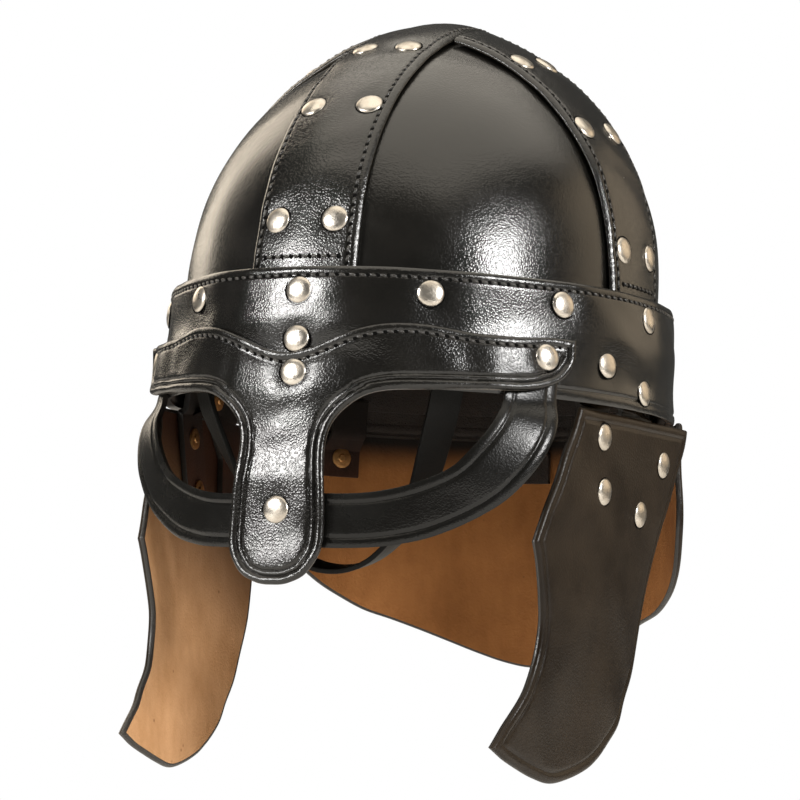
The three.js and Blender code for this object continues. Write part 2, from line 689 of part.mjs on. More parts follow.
const PROBE = 30;
const SEAM_ASIDE = 0.4;
const bothFaces = new THREE.MeshBasicMaterial({ side: THREE.DoubleSide });
const leathers = new Map();
for (const [name, made] of pieces) leathers.set(name, new THREE.Mesh(geometryOf(made), bothFaces));
const turnTo = (n) => new THREE.Quaternion().setFromUnitVectors(vec(0, 1, 0), n);

for (const { name, spot, through } of rivets) {
  const n = spot.n;
  const start = spot.p.clone().addScaledVector(n, PROBE);
  const aside = vec(SEAM_ASIDE, SEAM_ASIDE, SEAM_ASIDE).cross(n);
  const depths = [];
  for (const from of [start, start.clone().add(aside)]) {
    const ray = new THREE.Raycaster(from, n.clone().negate(), 0, 2 * PROBE);
    for (const layer of through)
      for (const hit of ray.intersectObject(leathers.get(layer))) depths.push(hit.distance);
  }
  const outer = Math.min(...depths);
  const grip = Math.max(...depths) - outer;
  const base = start.clone().addScaledVector(n, GAP - outer);
  const tail = -grip - GAP - WASHER_SEAT;
  const profile = [
    new THREE.Vector2(0, tail - WASHER_THICK),
    new THREE.Vector2(WASHER_RADIUS, tail),
    new THREE.Vector2(SHANK_RADIUS, tail),
    new THREE.Vector2(SHANK_RADIUS, 0),
    new THREE.Vector2(CAP_RADIUS, 0),
    new THREE.Vector2(CAP_SHOULDER * CAP_RADIUS, CAP_CREST * CAP_HEIGHT),
    new THREE.Vector2(0, CAP_HEIGHT),
  ];
  const place = (geometry) => geometry.applyQuaternion(turnTo(n)).translate(base.x, base.y, base.z);
  const hole = solidOf(place(new THREE.CylinderGeometry(HOLE_RADIUS, HOLE_RADIUS, 2 * PROBE, HOLE_SIDES)));
  for (const layer of through) pieces.set(layer, pieces.get(layer).subtract(hole));
  pieces.set(name, solidOf(place(new THREE.LatheGeometry(profile, RIVET_SIDES))));
}

// Finish: black leather and pale nickel rivets
const group = new THREE.Group();
for (const [name, made] of pieces) {
  const metal = name.includes("rivet");
  const mesh = new THREE.Mesh(
    geometryOf(made),
    new THREE.MeshStandardMaterial({
      color: metal ? "#b9b2a5" : "#1f1c19",
      roughness: metal ? 0.35 : 0.45,
      metalness: metal ? 1 : 0,
    }),
  );
  mesh.name = name;
  group.add(mesh);
}

export default group;
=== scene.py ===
import json
import math

import bpy
import numpy as np
from mathutils import Matrix, Quaternion, Vector

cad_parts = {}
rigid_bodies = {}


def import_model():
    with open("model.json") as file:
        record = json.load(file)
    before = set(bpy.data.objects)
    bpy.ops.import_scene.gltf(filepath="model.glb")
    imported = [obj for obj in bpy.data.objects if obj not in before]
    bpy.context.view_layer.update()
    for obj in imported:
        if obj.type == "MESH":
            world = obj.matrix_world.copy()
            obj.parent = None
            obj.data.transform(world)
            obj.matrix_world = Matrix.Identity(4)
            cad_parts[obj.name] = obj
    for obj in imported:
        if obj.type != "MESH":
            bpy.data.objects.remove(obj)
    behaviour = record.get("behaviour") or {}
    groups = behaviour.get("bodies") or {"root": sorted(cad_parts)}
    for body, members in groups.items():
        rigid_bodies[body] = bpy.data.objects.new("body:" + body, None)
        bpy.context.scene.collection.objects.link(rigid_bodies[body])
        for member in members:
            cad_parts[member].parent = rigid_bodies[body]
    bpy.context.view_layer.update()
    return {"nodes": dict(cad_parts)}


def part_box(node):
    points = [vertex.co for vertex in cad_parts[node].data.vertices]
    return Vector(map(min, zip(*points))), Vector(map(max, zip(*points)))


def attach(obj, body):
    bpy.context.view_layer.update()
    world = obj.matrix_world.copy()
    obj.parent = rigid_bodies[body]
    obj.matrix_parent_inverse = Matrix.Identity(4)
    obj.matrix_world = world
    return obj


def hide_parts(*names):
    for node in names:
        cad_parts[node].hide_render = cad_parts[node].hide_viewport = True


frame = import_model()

# Crown panels: four quarters of stiff leather, wet formed over a block and butted together under the straps.
# The grain side is outside, dyed black and waxed to a gloss, and the flesh side inside is dark and rough.
HALF_WIDTH = 0.095
HALF_LENGTH = 0.10925
BAND_HEIGHT = 0.0438
CROWN_HEIGHT = 0.156
BAND_TAPER = 0.951
RISE_POWER = 2.456
ROUND_POWER = 1.405
CROWN_LEAN = 0.121
CROWN_BLUNT = 0.1
PANEL_FOOT = 0.0108
PANEL_THICK = 0.0027
SEAM_GAP = 0.0003
SIDE_STRAP_Y = -0.004
PANEL_TURNS = 34
PANEL_RISES = 40
PANEL_TOP_RISE = 88
PANEL_FOOT_ROWS = 6
PANEL_FOOT_GAP = 0.002
PANEL_EDGE_ROUND = 0.0003
PANEL_SWELL_SIZE = 0.019
PANEL_SWELL_DEPTH = 0.00022
CAST_STEPS = 44
CUT_EDGE_ANGLE = 55
SMOOTH_ANGLE = 60
SWELL_WAY = (1.0, 0.4, 1.7)
SWELL_SWAY = 1.4
SWELL_SWAY_WAY = (-0.6, 1.3, 0.5)
HOLLOW_WAY = (-1.1, 1.2, 0.7)
HOLLOW_SWAY = 1.1
HOLLOW_SWAY_WAY = (1.5, 0.3, -0.9)
HOLLOW_START = 2
BLACK_DYE = (0.0034, 0.0032, 0.0027, 1)
WORN_DYE = (0.0068, 0.0061, 0.005, 1)
DARK_FLESH = (0.009, 0.0062, 0.0045, 1)
DARK_FLESH_WORN = (0.017, 0.0105, 0.007, 1)
EDGE_DYE = (0.008, 0.007, 0.006, 1)
EDGE_DYE_WORN = (0.022, 0.018, 0.014, 1)


def band_scale(z):
    """How much narrower the wall is at a height of the band than at the band's lower edge."""
    return 1 - (1 - BAND_TAPER) * np.clip(z / BAND_HEIGHT, 0, 1)


def rounded(share):
    """Bends the crown's side view, blunt at the top so that it has no point there."""
    return np.hypot(share, CROWN_BLUNT) ** ROUND_POWER - CROWN_BLUNT**ROUND_POWER


def wall_value(p):
    """Below zero inside the wall that the leather is laid on, and above zero outside it."""
    above = np.maximum(p[:, 2] - BAND_HEIGHT, 0)
    around = np.hypot(p[:, 0] / HALF_WIDTH, (p[:, 1] - CROWN_LEAN * above) / HALF_LENGTH)
    rise = above / (CROWN_HEIGHT - BAND_HEIGHT)
    return rounded(around / band_scale(p[:, 2])) / rounded(1) + rise**RISE_POWER - 1


def wall_normal(p, step=0.0002):
    """Outward normals of the wall, from its values a small step to each side."""
    slopes = [wall_value(p + way) - wall_value(p - way) for way in np.eye(3) * step]
    normal = np.stack(slopes, 1)
    return normal / np.linalg.norm(normal, axis=1)[:, None]


def cast(start, way):
    """Where straight lines from inside the helmet meet its wall, with the wall's outward normals."""
    near = np.zeros(len(start))
    far = np.full(len(start), CROWN_HEIGHT + HALF_LENGTH)
    for _ in range(CAST_STEPS):
        middle = (near + far) / 2
        inside = wall_value(start + way * middle[:, None]) < 0
        near = np.where(inside, middle, near)
        far = np.where(inside, far, middle)
    spot = start + way * near[:, None]
    return spot, wall_normal(spot)


def hold(piece):
    """Makes one piece the only one that the next operator acts on."""
    bpy.ops.object.select_all(action="DESELECT")
    piece.select_set(True)
    bpy.context.view_layer.objects.active = piece


def bend(piece, spots, outward):
    """Bends a flat piece to its spots, with its grain side outwards."""
    piece.data.vertices.foreach_set("co", np.asarray(spots, np.float32).ravel())
    piece.data.update()
    facing = 0
    for face in piece.data.polygons:
        facing += face.area * face.normal.dot(Vector(outward[face.vertices[0]]))
    if facing < 0:
        hold(piece)
        bpy.ops.object.mode_set(mode="EDIT")
        bpy.ops.mesh.select_all(action="SELECT")
        bpy.ops.mesh.flip_normals()
        bpy.ops.object.mode_set(mode="OBJECT")


def strip(name, along, across, place):
    """A strip of leather with stations along it and rows across it, bent to where place puts them."""
    bpy.ops.object.select_all(action="DESELECT")
    bpy.ops.mesh.primitive_grid_add(x_subdivisions=len(along) - 1, y_subdivisions=len(across) - 1, size=2)
    piece = bpy.context.object
    piece.name = piece.data.name = name
    flat = np.array([vertex.co for vertex in piece.data.vertices])
    station = np.rint((flat[:, 0] + 1) / 2 * (len(along) - 1)).astype(int)
    row = np.rint((flat[:, 1] + 1) / 2 * (len(across) - 1)).astype(int)
    spots, outward = place(np.asarray(along)[station], np.asarray(across)[row])
    bend(piece, spots, outward)
    return piece


def weld(piece, reach=0.00002):
    """Joins the two ends of a strip that meet, and the points that share one spot."""
    hold(piece)
    bpy.ops.object.mode_set(mode="EDIT")
    bpy.ops.mesh.select_all(action="SELECT")
    bpy.ops.mesh.remove_doubles(threshold=reach)
    bpy.ops.object.mode_set(mode="OBJECT")


def thicken(piece, thick, edge_round, faces):
    """Gives a sheet its thickness, rounds its cut edges, and dresses its grain, flesh and cut sides."""
    hold(piece)
    piece.data.materials.clear()
    for material in faces:
        piece.data.materials.append(material)
    wall = piece.modifiers.new("thickness", "SOLIDIFY")
    wall.thickness = thick
    wall.offset = -1
    wall.use_even_offset = True
    wall.material_offset = 1
    wall.material_offset_rim = 2
    bpy.ops.object.modifier_apply(modifier=wall.name)
    rim = piece.modifiers.new("cut_edge", "BEVEL")
    rim.width = edge_round
    rim.segments = 3
    rim.limit_method = "ANGLE"
    rim.angle_limit = math.radians(CUT_EDGE_ANGLE)
    bpy.ops.object.modifier_apply(modifier=rim.name)
    bpy.ops.object.shade_smooth_by_angle(angle=math.radians(SMOOTH_ANGLE))


def uneven(p, size, depth):
    """Slow swells and hollows that hand-formed leather has, as heights off its true surface."""
    q = p / size
    swell = np.sin(q @ SWELL_WAY + SWELL_SWAY * np.sin(q @ SWELL_SWAY_WAY))
    hollow = np.sin(q @ HOLLOW_WAY + HOLLOW_SWAY * np.sin(q @ HOLLOW_SWAY_WAY) + HOLLOW_START)
    return depth * swell * hollow


def dimples(p, centres, depth, reach):
    """Hollows where rivets pull the leather in, as heights off its true surface."""
    sunk = np.zeros(len(p))
    for centre in centres:
        way = wall_normal(centre[None, :])[0]
        aside = p - centre
        deep = aside @ way
        aside = aside - np.outer(deep, way)
        sunk -= depth * np.exp(-(np.sum(aside**2, axis=1) / reach**2)) * (deep > -HALF_WIDTH)
    return sunk


def fit(piece, solid):
    """Lets a dressed piece stand for its solid, if it has one."""
    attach(piece, "root")
    if solid:
        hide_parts(solid)


def node(tree, kind, inputs=(), **settings):
    """Adds a shader node, with its settings, and with its inputs linked or set."""
    made = tree.nodes.new("ShaderNode" + kind)
    for name, value in settings.items():
        setattr(made, name, value)
    for socket, value in dict(inputs).items():
        if isinstance(value, bpy.types.NodeSocket):
            tree.links.new(value, made.inputs[socket])
        else:
            made.inputs[socket].default_value = value
    return made


def mix_colours(tree, factor, first, second):
    """A Mix node's colour sockets go by number: 0 is the factor, 6 and 7 the colours, 2 the result."""
    return node(tree, "Mix", {0: factor, 6: first, 7: second}, data_type="RGBA").outputs[2]


def new_group(name, inputs, outputs):
    """Starts a group of shader nodes, with its own sockets."""
    group = bpy.data.node_groups.new(name, "ShaderNodeTree")
    for socket, kind in inputs.items():
        group.interface.new_socket(socket, in_out="INPUT", socket_type="NodeSocket" + kind)
    for socket, kind in outputs.items():
        group.interface.new_socket(socket, in_out="OUTPUT", socket_type="NodeSocket" + kind)
    return group, group.nodes.new("NodeGroupInput").outputs, group.nodes.new("NodeGroupOutput").inputs


# Grain of the leather: pebbles between fine creases, pores, and long soft wrinkles, as a height and a tone
grain_group, given, put = new_group(
    "leather_grain",
    {"Vector": "Vector", "Pebble": "Float", "Wrinkle": "Float"},
    {"Height": "Float", "Tone": "Float"},
)
sway = node(grain_group, "TexNoise", {"Vector": given["Vector"], "Scale": 380, "Detail": 2})
swayed = node(
    grain_group,
    "VectorMath",
    {0: sway.outputs["Color"], 1: (0.0011, 0.0011, 0.0011), 2: given["Vector"]},
    operation="MULTIPLY_ADD",
).outputs[0]
cell = node(
    grain_group,
    "TexVoronoi",
    {"Vector": swayed, "Scale": given["Pebble"]},
    feature="F1",
)
domed = node(
    grain_group, "Math", {0: cell.outputs["Distance"], 1: cell.outputs["Distance"]}, operation="MULTIPLY"
).outputs[0]
pebble = node(
    grain_group, "MapRange", {"Value": domed, "From Max": 0.36, "To Min": 0.6, "To Max": 0}
).outputs["Result"]
pore = node(grain_group, "TexNoise", {"Vector": given["Vector"], "Scale": 1900, "Detail": 3})
pored = node(
    grain_group, "Math", {0: pore.outputs["Fac"], 1: 0.35, 2: pebble}, operation="MULTIPLY_ADD"
).outputs[0]
wrinkle = node(
    grain_group,
    "TexNoise",
    {"Vector": swayed, "Scale": given["Wrinkle"], "Detail": 5, "Roughness": 0.62},
)
height = node(
    grain_group, "Math", {0: wrinkle.outputs["Fac"], 1: 0.9, 2: pored}, operation="MULTIPLY_ADD"
).outputs[0]
tone = node(grain_group, "TexNoise", {"Vector": given["Vector"], "Scale": 30, "Detail": 5, "Roughness": 0.6})
grain_group.links.new(height, put["Height"])
grain_group.links.new(tone.outputs["Fac"], put["Tone"])


def leather(name, colour, worn, roughness, pebble, wrinkle, depth, coat=0, specular=0.5):
    """Dyed leather: its colour and gloss change with the grain, which stands up from it."""
    material = bpy.data.materials.new(name)
    material.use_nodes = True
    tree = material.node_tree
    skin = tree.nodes["Principled BSDF"]
    skin.inputs["Coat Weight"].default_value = coat
    skin.inputs["Coat Roughness"].default_value = 0.22
    skin.inputs["IOR"].default_value = 1.5
    skin.inputs["Specular IOR Level"].default_value = specular
    place = node(tree, "TexCoord").outputs["Object"]
    grain = node(tree, "Group", node_tree=grain_group)
    tree.links.new(place, grain.inputs["Vector"])
    grain.inputs["Pebble"].default_value = pebble
    grain.inputs["Wrinkle"].default_value = wrinkle
    blotch = node(
        tree, "MapRange", {"Value": grain.outputs["Tone"], "From Min": 0.35, "From Max": 0.7}
    ).outputs["Result"]
    tree.links.new(mix_colours(tree, blotch, colour, worn), skin.inputs["Base Color"])
    gloss = node(
        tree,
        "MapRange",
        {
            "Value": grain.outputs["Tone"],
            "From Min": 0.3,
            "From Max": 0.7,
            "To Min": roughness - 0.06,
            "To Max": roughness + 0.08,
        },
    ).outputs["Result"]
    tree.links.new(gloss, skin.inputs["Roughness"])
    relief = node(tree, "Bump", {"Height": grain.outputs["Height"], "Strength": depth, "Distance": 0.0006})
    tree.links.new(relief.outputs["Normal"], skin.inputs["Normal"])
    return material


crown_grain = leather(
    "crown_grain", BLACK_DYE, WORN_DYE, roughness=0.2, pebble=1200, wrinkle=110, depth=0.145, coat=0.15
)
dark_flesh = leather(
    "dark_flesh", DARK_FLESH, DARK_FLESH_WORN, roughness=0.8, pebble=1400, wrinkle=300, depth=0.6
)
black_edge = leather(
    "black_edge", EDGE_DYE, EDGE_DYE_WORN, roughness=0.42, pebble=1500, wrinkle=260, depth=0.25, coat=0.1
)


def panel_place(side, face):
    """Stations turn from the ridge to the side strap, and rows rise from the foot to the crown's top."""

    def place(turn, rise):
        heart = np.array((side * SEAM_GAP, SIDE_STRAP_Y + face * SEAM_GAP, BAND_HEIGHT))
        start = np.tile(heart, (len(turn), 1))
        start[:, 2] = np.where(rise < 0, BAND_HEIGHT + rise, BAND_HEIGHT)
        up = np.radians(np.maximum(rise, 0))
        flat = np.cos(up)
        way = np.stack((side * flat * np.sin(turn), face * flat * np.cos(turn), np.sin(up)), 1)
        spot, outward = cast(start, way)
        lift = uneven(spot, PANEL_SWELL_SIZE, PANEL_SWELL_DEPTH)
        return spot + outward * lift[:, None], outward

    return place


panel_rows = np.concatenate(
    (
        np.linspace(PANEL_FOOT - BAND_HEIGHT, -PANEL_FOOT_GAP, PANEL_FOOT_ROWS),
        np.linspace(0, PANEL_TOP_RISE, PANEL_RISES),
    )
)
for panel_name, panel_side, panel_face in (
    ("crown_panel_front_left", 1, -1),
    ("crown_panel_front_right", -1, -1),
    ("crown_panel_back_left", 1, 1),
    ("crown_panel_back_right", -1, 1),
):
    panel = strip(
        panel_name + "_leather",
        np.linspace(0, math.pi / 2, PANEL_TURNS),
        panel_rows,
        panel_place(panel_side, panel_face),
    )
    weld(panel)
    thicken(panel, PANEL_THICK, PANEL_EDGE_ROUND, (crown_grain, dark_flesh, black_edge))
    fit(panel, panel_name)

# Crown straps: the ridge strap runs from the front of the band over the top to its back, and a shorter strap
# comes up from the band at each side. They are the same leather as the panels, thinned along both edges
# and sewn down there with black thread.
STRAP_SEAT = 0.00065
STRAP_THICK = 0.0027
STRAP_LIFT = STRAP_SEAT + STRAP_THICK
STRAP_FOOT = 0.0285
RIDGE_HALF_FOOT = 0.0213
RIDGE_HALF_TOP = 0.0194
SIDE_HALF_FOOT = 0.0206
SIDE_HALF_TOP = 0.0192
FOOT_RISE = 10
RIDGE_RIVETS = (
    # rise, distance from the strap's middle
    (11, 0.0114),
    (42, 0.0114),
    (69, 0.009),
)
SIDE_RIVETS = (
    # rise, distance from the strap's middle
    (11, 0.0114),
    (42, 0.0114),
    (64, 0.01),
)
DIMPLE_DEPTH = 0.0008
DIMPLE_REACH = 0.0058
STRAP_ROWS_IN = (
    *(0, 0.0005, 0.0012, 0.0021, 0.003, 0.0035, 0.0039, 0.0043, 0.0048, 0.0055),
    *np.arange(0.0068, 0.018, 0.0015),
)
SEAM_IN = 0.0034
SEAM_DEPTH = 0.0004
SEAM_HALF = 0.0006
EDGE_DROP = 0.0007
EDGE_REACH = 0.0022
SKIVED_DROP = 0.0017
SKIVED_REACH = 0.003
SKIVED_THICK = 0.0015
STRAP_EDGE_ROUND = 0.0004
STRAP_SWELL_SIZE = 0.012
STRAP_SWELL_DEPTH = 0.00025
FOOT_STATIONS = 6
RIDGE_STATIONS = 211
SIDE_STATIONS = 90
RIDGE_SEAM_STATIONS = 500
SIDE_SEAM_STATIONS = 260
STITCH_PITCH = 0.0038
THREAD_SIZE = (0.0013, 0.0011, 0.0026)
THREAD_SLANT = -12
AWL_HOLE_SIZE = (0.0021, 0.0006, 0.0015)
AWL_HOLE_SLANT = 28
SEAM_AHEAD = 0.001
SEAM_STAND = 0.0001
THREAD_BLACK = (0.010, 0.0092, 0.0085, 1)
THREAD_WORN = (0.03, 0.027, 0.023, 1)
# Painted shade: near-black for the inside of the awl holes, also used for the collar round each rivet cap
HOLE_SHADE_BLACK = (0.0012, 0.0011, 0.001, 1)
RAW_EDGE = (0.032, 0.028, 0.023, 1)
RAW_EDGE_WORN = (0.095, 0.083, 0.067, 1)

strap_grain = leather(
    "strap_grain", BLACK_DYE, WORN_DYE, roughness=0.2, pebble=1100, wrinkle=150, depth=0.23, coat=0.2
)
worn_edge = leather(
    "worn_edge", RAW_EDGE, RAW_EDGE_WORN, roughness=0.45, pebble=1500, wrinkle=260, depth=0.3, coat=0.1
)
thread = leather(
    "black_thread", THREAD_BLACK, THREAD_WORN, roughness=0.3, pebble=2600, wrinkle=900, depth=0.3, coat=0.2
)
# Painted shade of the awl holes and of the cap collars: near-black with hardly any gloss
painted_shade_black = leather(
    "painted_shade_black", HOLE_SHADE_BLACK, HOLE_SHADE_BLACK, roughness=0.9, pebble=2600, wrinkle=900, depth=0.3, specular=0.1
)


def ridge_half(rise):
    """Half of the ridge strap's width, which is least at the top."""
    up = np.sin(np.radians(np.clip(rise, 0, 180)))
    return RIDGE_HALF_FOOT + (RIDGE_HALF_TOP - RIDGE_HALF_FOOT) * up


def ridge_spot(rise, x):
    """Spots of the wall under the ridge strap: rise is 0 at the front of the band and 180 at its back."""
    low = np.where(rise < 0, -rise, np.where(rise > 180, rise - 180, 0)) / FOOT_RISE
    up = np.radians(np.clip(rise, 0, 180))
    start = np.stack((x, np.full(len(x), SIDE_STRAP_Y), BAND_HEIGHT - low * (BAND_HEIGHT - STRAP_FOOT)), 1)
    way = np.stack((np.zeros(len(x)), -np.cos(up), np.sin(up)), 1)
    return cast(start, way)


def seam_relief(inward, drop=EDGE_DROP, reach=EDGE_REACH):
    """Height off a strap's face at a distance in from its edge: rolled edge, then the stitches' trough."""
    rolled = -drop * (1 - np.clip(inward / reach, 0, 1)) ** 2
    return rolled - SEAM_DEPTH * np.exp(-(((inward - SEAM_IN) / SEAM_HALF) ** 2))


def rows_across(half, rows_in):
    """Rows from one edge of a strap to the other, close together at the edges where the leather is shaped."""
    inward = np.array(rows_in) / half
    return np.concatenate((inward - 1, [0], (1 - inward)[::-1]))


def pulled(spot_of, rivets, mirror_rise):
    """Spots of the rivets of one strap."""
    spots = []
    for rise, aside in rivets:
        for turn in (rise, 180 - rise)[: 1 + mirror_rise]:
            for share in (-aside, aside):
                spots.append(spot_of(np.array([float(turn)]), np.array([share]))[0][0])
    return spots


def on_strap(spot, outward, inward, rivets):
    """A strap's face over spots of the wall, at a distance in from its edge and pulled in at its rivets."""
    lift = STRAP_LIFT + seam_relief(inward, SKIVED_DROP, SKIVED_REACH)
    lift += uneven(spot, STRAP_SWELL_SIZE, STRAP_SWELL_DEPTH)
    lift += dimples(spot, rivets, DIMPLE_DEPTH, DIMPLE_REACH)
    return spot + outward * lift[:, None], outward


ridge_pulled = pulled(ridge_spot, RIDGE_RIVETS, True)


def ridge_place(rise, share):
    """Stations rise from the front foot over the top to the back foot, and rows go across."""
    half = ridge_half(rise)
    spot, outward = ridge_spot(rise, share * half)
    return on_strap(spot, outward, half * (1 - np.abs(share)), ridge_pulled)


def side_spot(side, rise, y):
    """Spots of the wall under a side strap: rise is 0 at the top of the band and 90 on the ridge."""
    low = np.maximum(-rise, 0) / FOOT_RISE
    up = np.radians(np.maximum(rise, 0))
    start = np.stack((np.zeros(len(y)), SIDE_STRAP_Y + y, BAND_HEIGHT - low * (BAND_HEIGHT - STRAP_FOOT)), 1)
    way = np.stack((side * np.cos(up), np.zeros(len(y)), np.sin(up)), 1)
    return cast(start, way)


def side_place(side):
    """A side strap's stations go from its foot, below 0, to 1 where its end meets the ridge strap's edge."""

    def place(stop, share):
        end = np.full(len(stop), side * (RIDGE_HALF_TOP + SEAM_GAP))
        start = np.stack((end, SIDE_STRAP_Y + share * SIDE_HALF_TOP, np.full(len(stop), BAND_HEIGHT)), 1)
        top, _ = cast(start, np.tile((0.0, 0.0, 1.0), (len(stop), 1)))
        last = np.degrees(np.arctan2(top[:, 2] - BAND_HEIGHT, np.abs(end)))
        rise = np.where(stop < 0, stop * FOOT_RISE, stop * last)
        half = SIDE_HALF_FOOT + (SIDE_HALF_TOP - SIDE_HALF_FOOT) * np.sin(np.radians(np.maximum(rise, 0)))
        spot, outward = side_spot(side, rise, share * half)
        return on_strap(spot, outward, half * (1 - np.abs(share)), side_pulled)

    side_pulled = pulled(lambda rise, y: side_spot(side, rise, y), SIDE_RIVETS, False)
    return place


def beads(model, size, slant, stops, run, spots, outward):
    """Copies of a bead along a seam, stretched to a size across, up and along it, and slanted to it."""
    bead = np.array([vertex.co for vertex in model.data.vertices]) * size

    def on_seam(lines, where):
        return np.stack([np.interp(where, run, lines[:, axis]) for axis in range(3)], 1)

    up = on_seam(outward, stops)
    up /= np.linalg.norm(up, axis=1)[:, None]
    along = on_seam(spots, stops + SEAM_AHEAD) - on_seam(spots, stops - SEAM_AHEAD)
    along /= np.linalg.norm(along, axis=1)[:, None]
    across = np.cross(up, along)
    lean = math.radians(slant)
    turned = np.stack(
        (
            across * math.cos(lean) - along * math.sin(lean),
            up,
            along * math.cos(lean) + across * math.sin(lean),
        ),
        1,
    )
    return (on_seam(spots, stops)[:, None, :] + np.einsum("vk,skx->svx", bead, turned)).reshape(-1, 3)


def stitch_row(name, spots, outward):
    """A row of stitches: short threads over the leather, between slanted holes that an awl has left, shown as
    near-black matte beads whose black is painted shade.
    """
    bpy.ops.object.select_all(action="DESELECT")
    bpy.ops.mesh.primitive_uv_sphere_add(segments=8, ring_count=6, radius=0.5)
    row = bpy.context.object
    faces = np.array([list(face.vertices) + [-1] * (4 - len(face.vertices)) for face in row.data.polygons])
    count = len(row.data.vertices)
    run = np.concatenate(([0], np.cumsum(np.linalg.norm(np.diff(spots, axis=0), axis=1))))
    holes = np.arange(STITCH_PITCH / 2, run[-1], STITCH_PITCH)
    threads = holes[:-1] + STITCH_PITCH / 2
    points = np.concatenate(
        (
            beads(row, THREAD_SIZE, THREAD_SLANT, threads, run, spots, outward),
            beads(row, AWL_HOLE_SIZE, AWL_HOLE_SLANT, holes, run, spots, outward),
        )
    )
    corners = [[c + i * count for c in face if c >= 0] for i in range(len(points) // count) for face in faces]
    mesh = bpy.data.meshes.new(name)
    mesh.from_pydata(points.tolist(), [], corners)
    mesh.materials.append(thread)
    mesh.materials.append(painted_shade_black)
    # The hole beads, after the threads, take the near-black matte: painted shade of the holes
    for face in mesh.polygons:
        face.material_index = int(face.vertices[0] >= len(threads) * count)
    old = row.data
    row.data = mesh
    row.name = name
    bpy.data.meshes.remove(old)
    hold(row)
    bpy.ops.object.shade_smooth()
    return row


def seam(name, along, share_in, place):
    """Sews a row along a strap at a share of its width, on the strap's own face."""
    spots, outward = place(along, share_in)
    fit(stitch_row(name, spots + outward * SEAM_STAND, outward), None)


ridge_along = np.concatenate(
    (
        np.linspace(-FOOT_RISE, 0, FOOT_STATIONS)[:-1],
        np.linspace(0, 180, RIDGE_STATIONS),
        np.linspace(180, 180 + FOOT_RISE, FOOT_STATIONS)[1:],
    )
)
ridge = strip("ridge_strap_leather", ridge_along, rows_across(RIDGE_HALF_FOOT, STRAP_ROWS_IN), ridge_place)
thicken(ridge, SKIVED_THICK, STRAP_EDGE_ROUND, (strap_grain, dark_flesh, worn_edge))
fit(ridge, "ridge_strap")
for seam_name, seam_share in (("ridge_stitches_left", 1), ("ridge_stitches_right", -1)):
    fine = np.linspace(-FOOT_RISE, 180 + FOOT_RISE, RIDGE_SEAM_STATIONS)
    seam(seam_name, fine, seam_share * (1 - SEAM_IN / ridge_half(fine)), ridge_place)

side_along = np.concatenate((np.linspace(-1, 0, FOOT_STATIONS)[:-1], np.linspace(0, 1, SIDE_STATIONS)))
for side_name, strap_side in (("left", 1), ("right", -1)):
    side_strap = strip(
        "side_strap_" + side_name + "_leather",
        side_along,
        rows_across(SIDE_HALF_FOOT, STRAP_ROWS_IN),
        side_place(strap_side),
    )
    thicken(side_strap, SKIVED_THICK, STRAP_EDGE_ROUND, (strap_grain, dark_flesh, worn_edge))
    fit(side_strap, "side_strap_" + side_name)
    for edge_name, edge_share in (("front", -1), ("back", 1)):
        seam_name = "side_stitches_" + edge_name + "_" + side_name
        fine = np.linspace(-1, 1, SIDE_SEAM_STATIONS)
        share = np.full(len(fine), edge_share * (1 - SEAM_IN / SIDE_HALF_TOP))
        seam(seam_name, fine, share, side_place(strap_side))

# Foot seams: one more row of the same black stitches across each strap, just above the band that covers
# its end. It holds the strap's foot down on the crown.
FOOT_SEAM_RISE = 2.6
FOOT_SEAM_HALF = 0.76
FOOT_SEAM_STATIONS = 40
SIDE_END_RISE = 80
across_foot = np.linspace(-FOOT_SEAM_HALF, FOOT_SEAM_HALF, FOOT_SEAM_STATIONS)
for foot_name, foot_rise in (("front", FOOT_SEAM_RISE), ("back", 180 - FOOT_SEAM_RISE)):
    seam(
        "ridge_foot_stitches_" + foot_name,
        np.full(FOOT_SEAM_STATIONS, foot_rise),
        across_foot,
        ridge_place,
    )
for side_name, strap_side in (("left", 1), ("right", -1)):
    seam(
        "side_foot_stitches_" + side_name,
        np.full(FOOT_SEAM_STATIONS, FOOT_SEAM_RISE / SIDE_END_RISE),
        across_foot,
        side_place(strap_side),
    )

# Brow band: a ring of black leather round the foot of the crown, over the ends of the straps, which lift it.
# Its upper edge is sewn, and its lower edge is creased with a hot iron and dyed.
GAP = 0.0003
BAND_SEAT = 0.0006
BAND_THICK = 0.0028
LIFT_NEAR = 0.001
RIDGE_LIFT_FAR = 0.034
SIDE_LIFT_FAR = 0.055
LIFT_BELOW_FOOT = 0.0015
LIFT_RUN = 0.021
LIFT_FULL_Z = STRAP_FOOT - LIFT_BELOW_FOOT
LIFT_NONE_Z = LIFT_FULL_Z - LIFT_RUN
STAND_OFF = 0.0021
STAND_FROM_Z = 0.0238
CREASE_IN = 0.004
CREASE_DEPTH = 0.0006
CREASE_HALF = 0.0006
BAND_STATIONS = 440
BAND_SEAM_STATIONS = 900
BAND_SWELL_SIZE = 0.011
BAND_SWELL_DEPTH = 0.0003
BAND_RIVETS = ("band", "brow", "hanger", "neck_band")
BAND_ROWS_IN = (
    *(0, 0.0005, 0.0012, 0.0021, 0.003, 0.0035, 0.0039, 0.0043, 0.0048, 0.0056),
    *np.arange(0.0069, 0.0212, 0.0015),
)

band_grain = leather(
    "band_grain", BLACK_DYE, WORN_DYE, roughness=0.2, pebble=1200, wrinkle=140, depth=0.16, coat=0.2
)


def smooth(value, low, high):
    """Eases from 0 at the low value to 1 at the high one."""
    share = np.clip((value - low) / (high - low), 0, 1)
    return share * share * (3 - 2 * share)


def wall_at(turn, z):
    """Spots of the wall at an angle from the front and at a height below the dome."""
    scale = band_scale(z)
    spot = np.stack((HALF_WIDTH * scale * np.sin(turn), -HALF_LENGTH * scale * np.cos(turn), z), 1)
    return spot, wall_normal(spot)


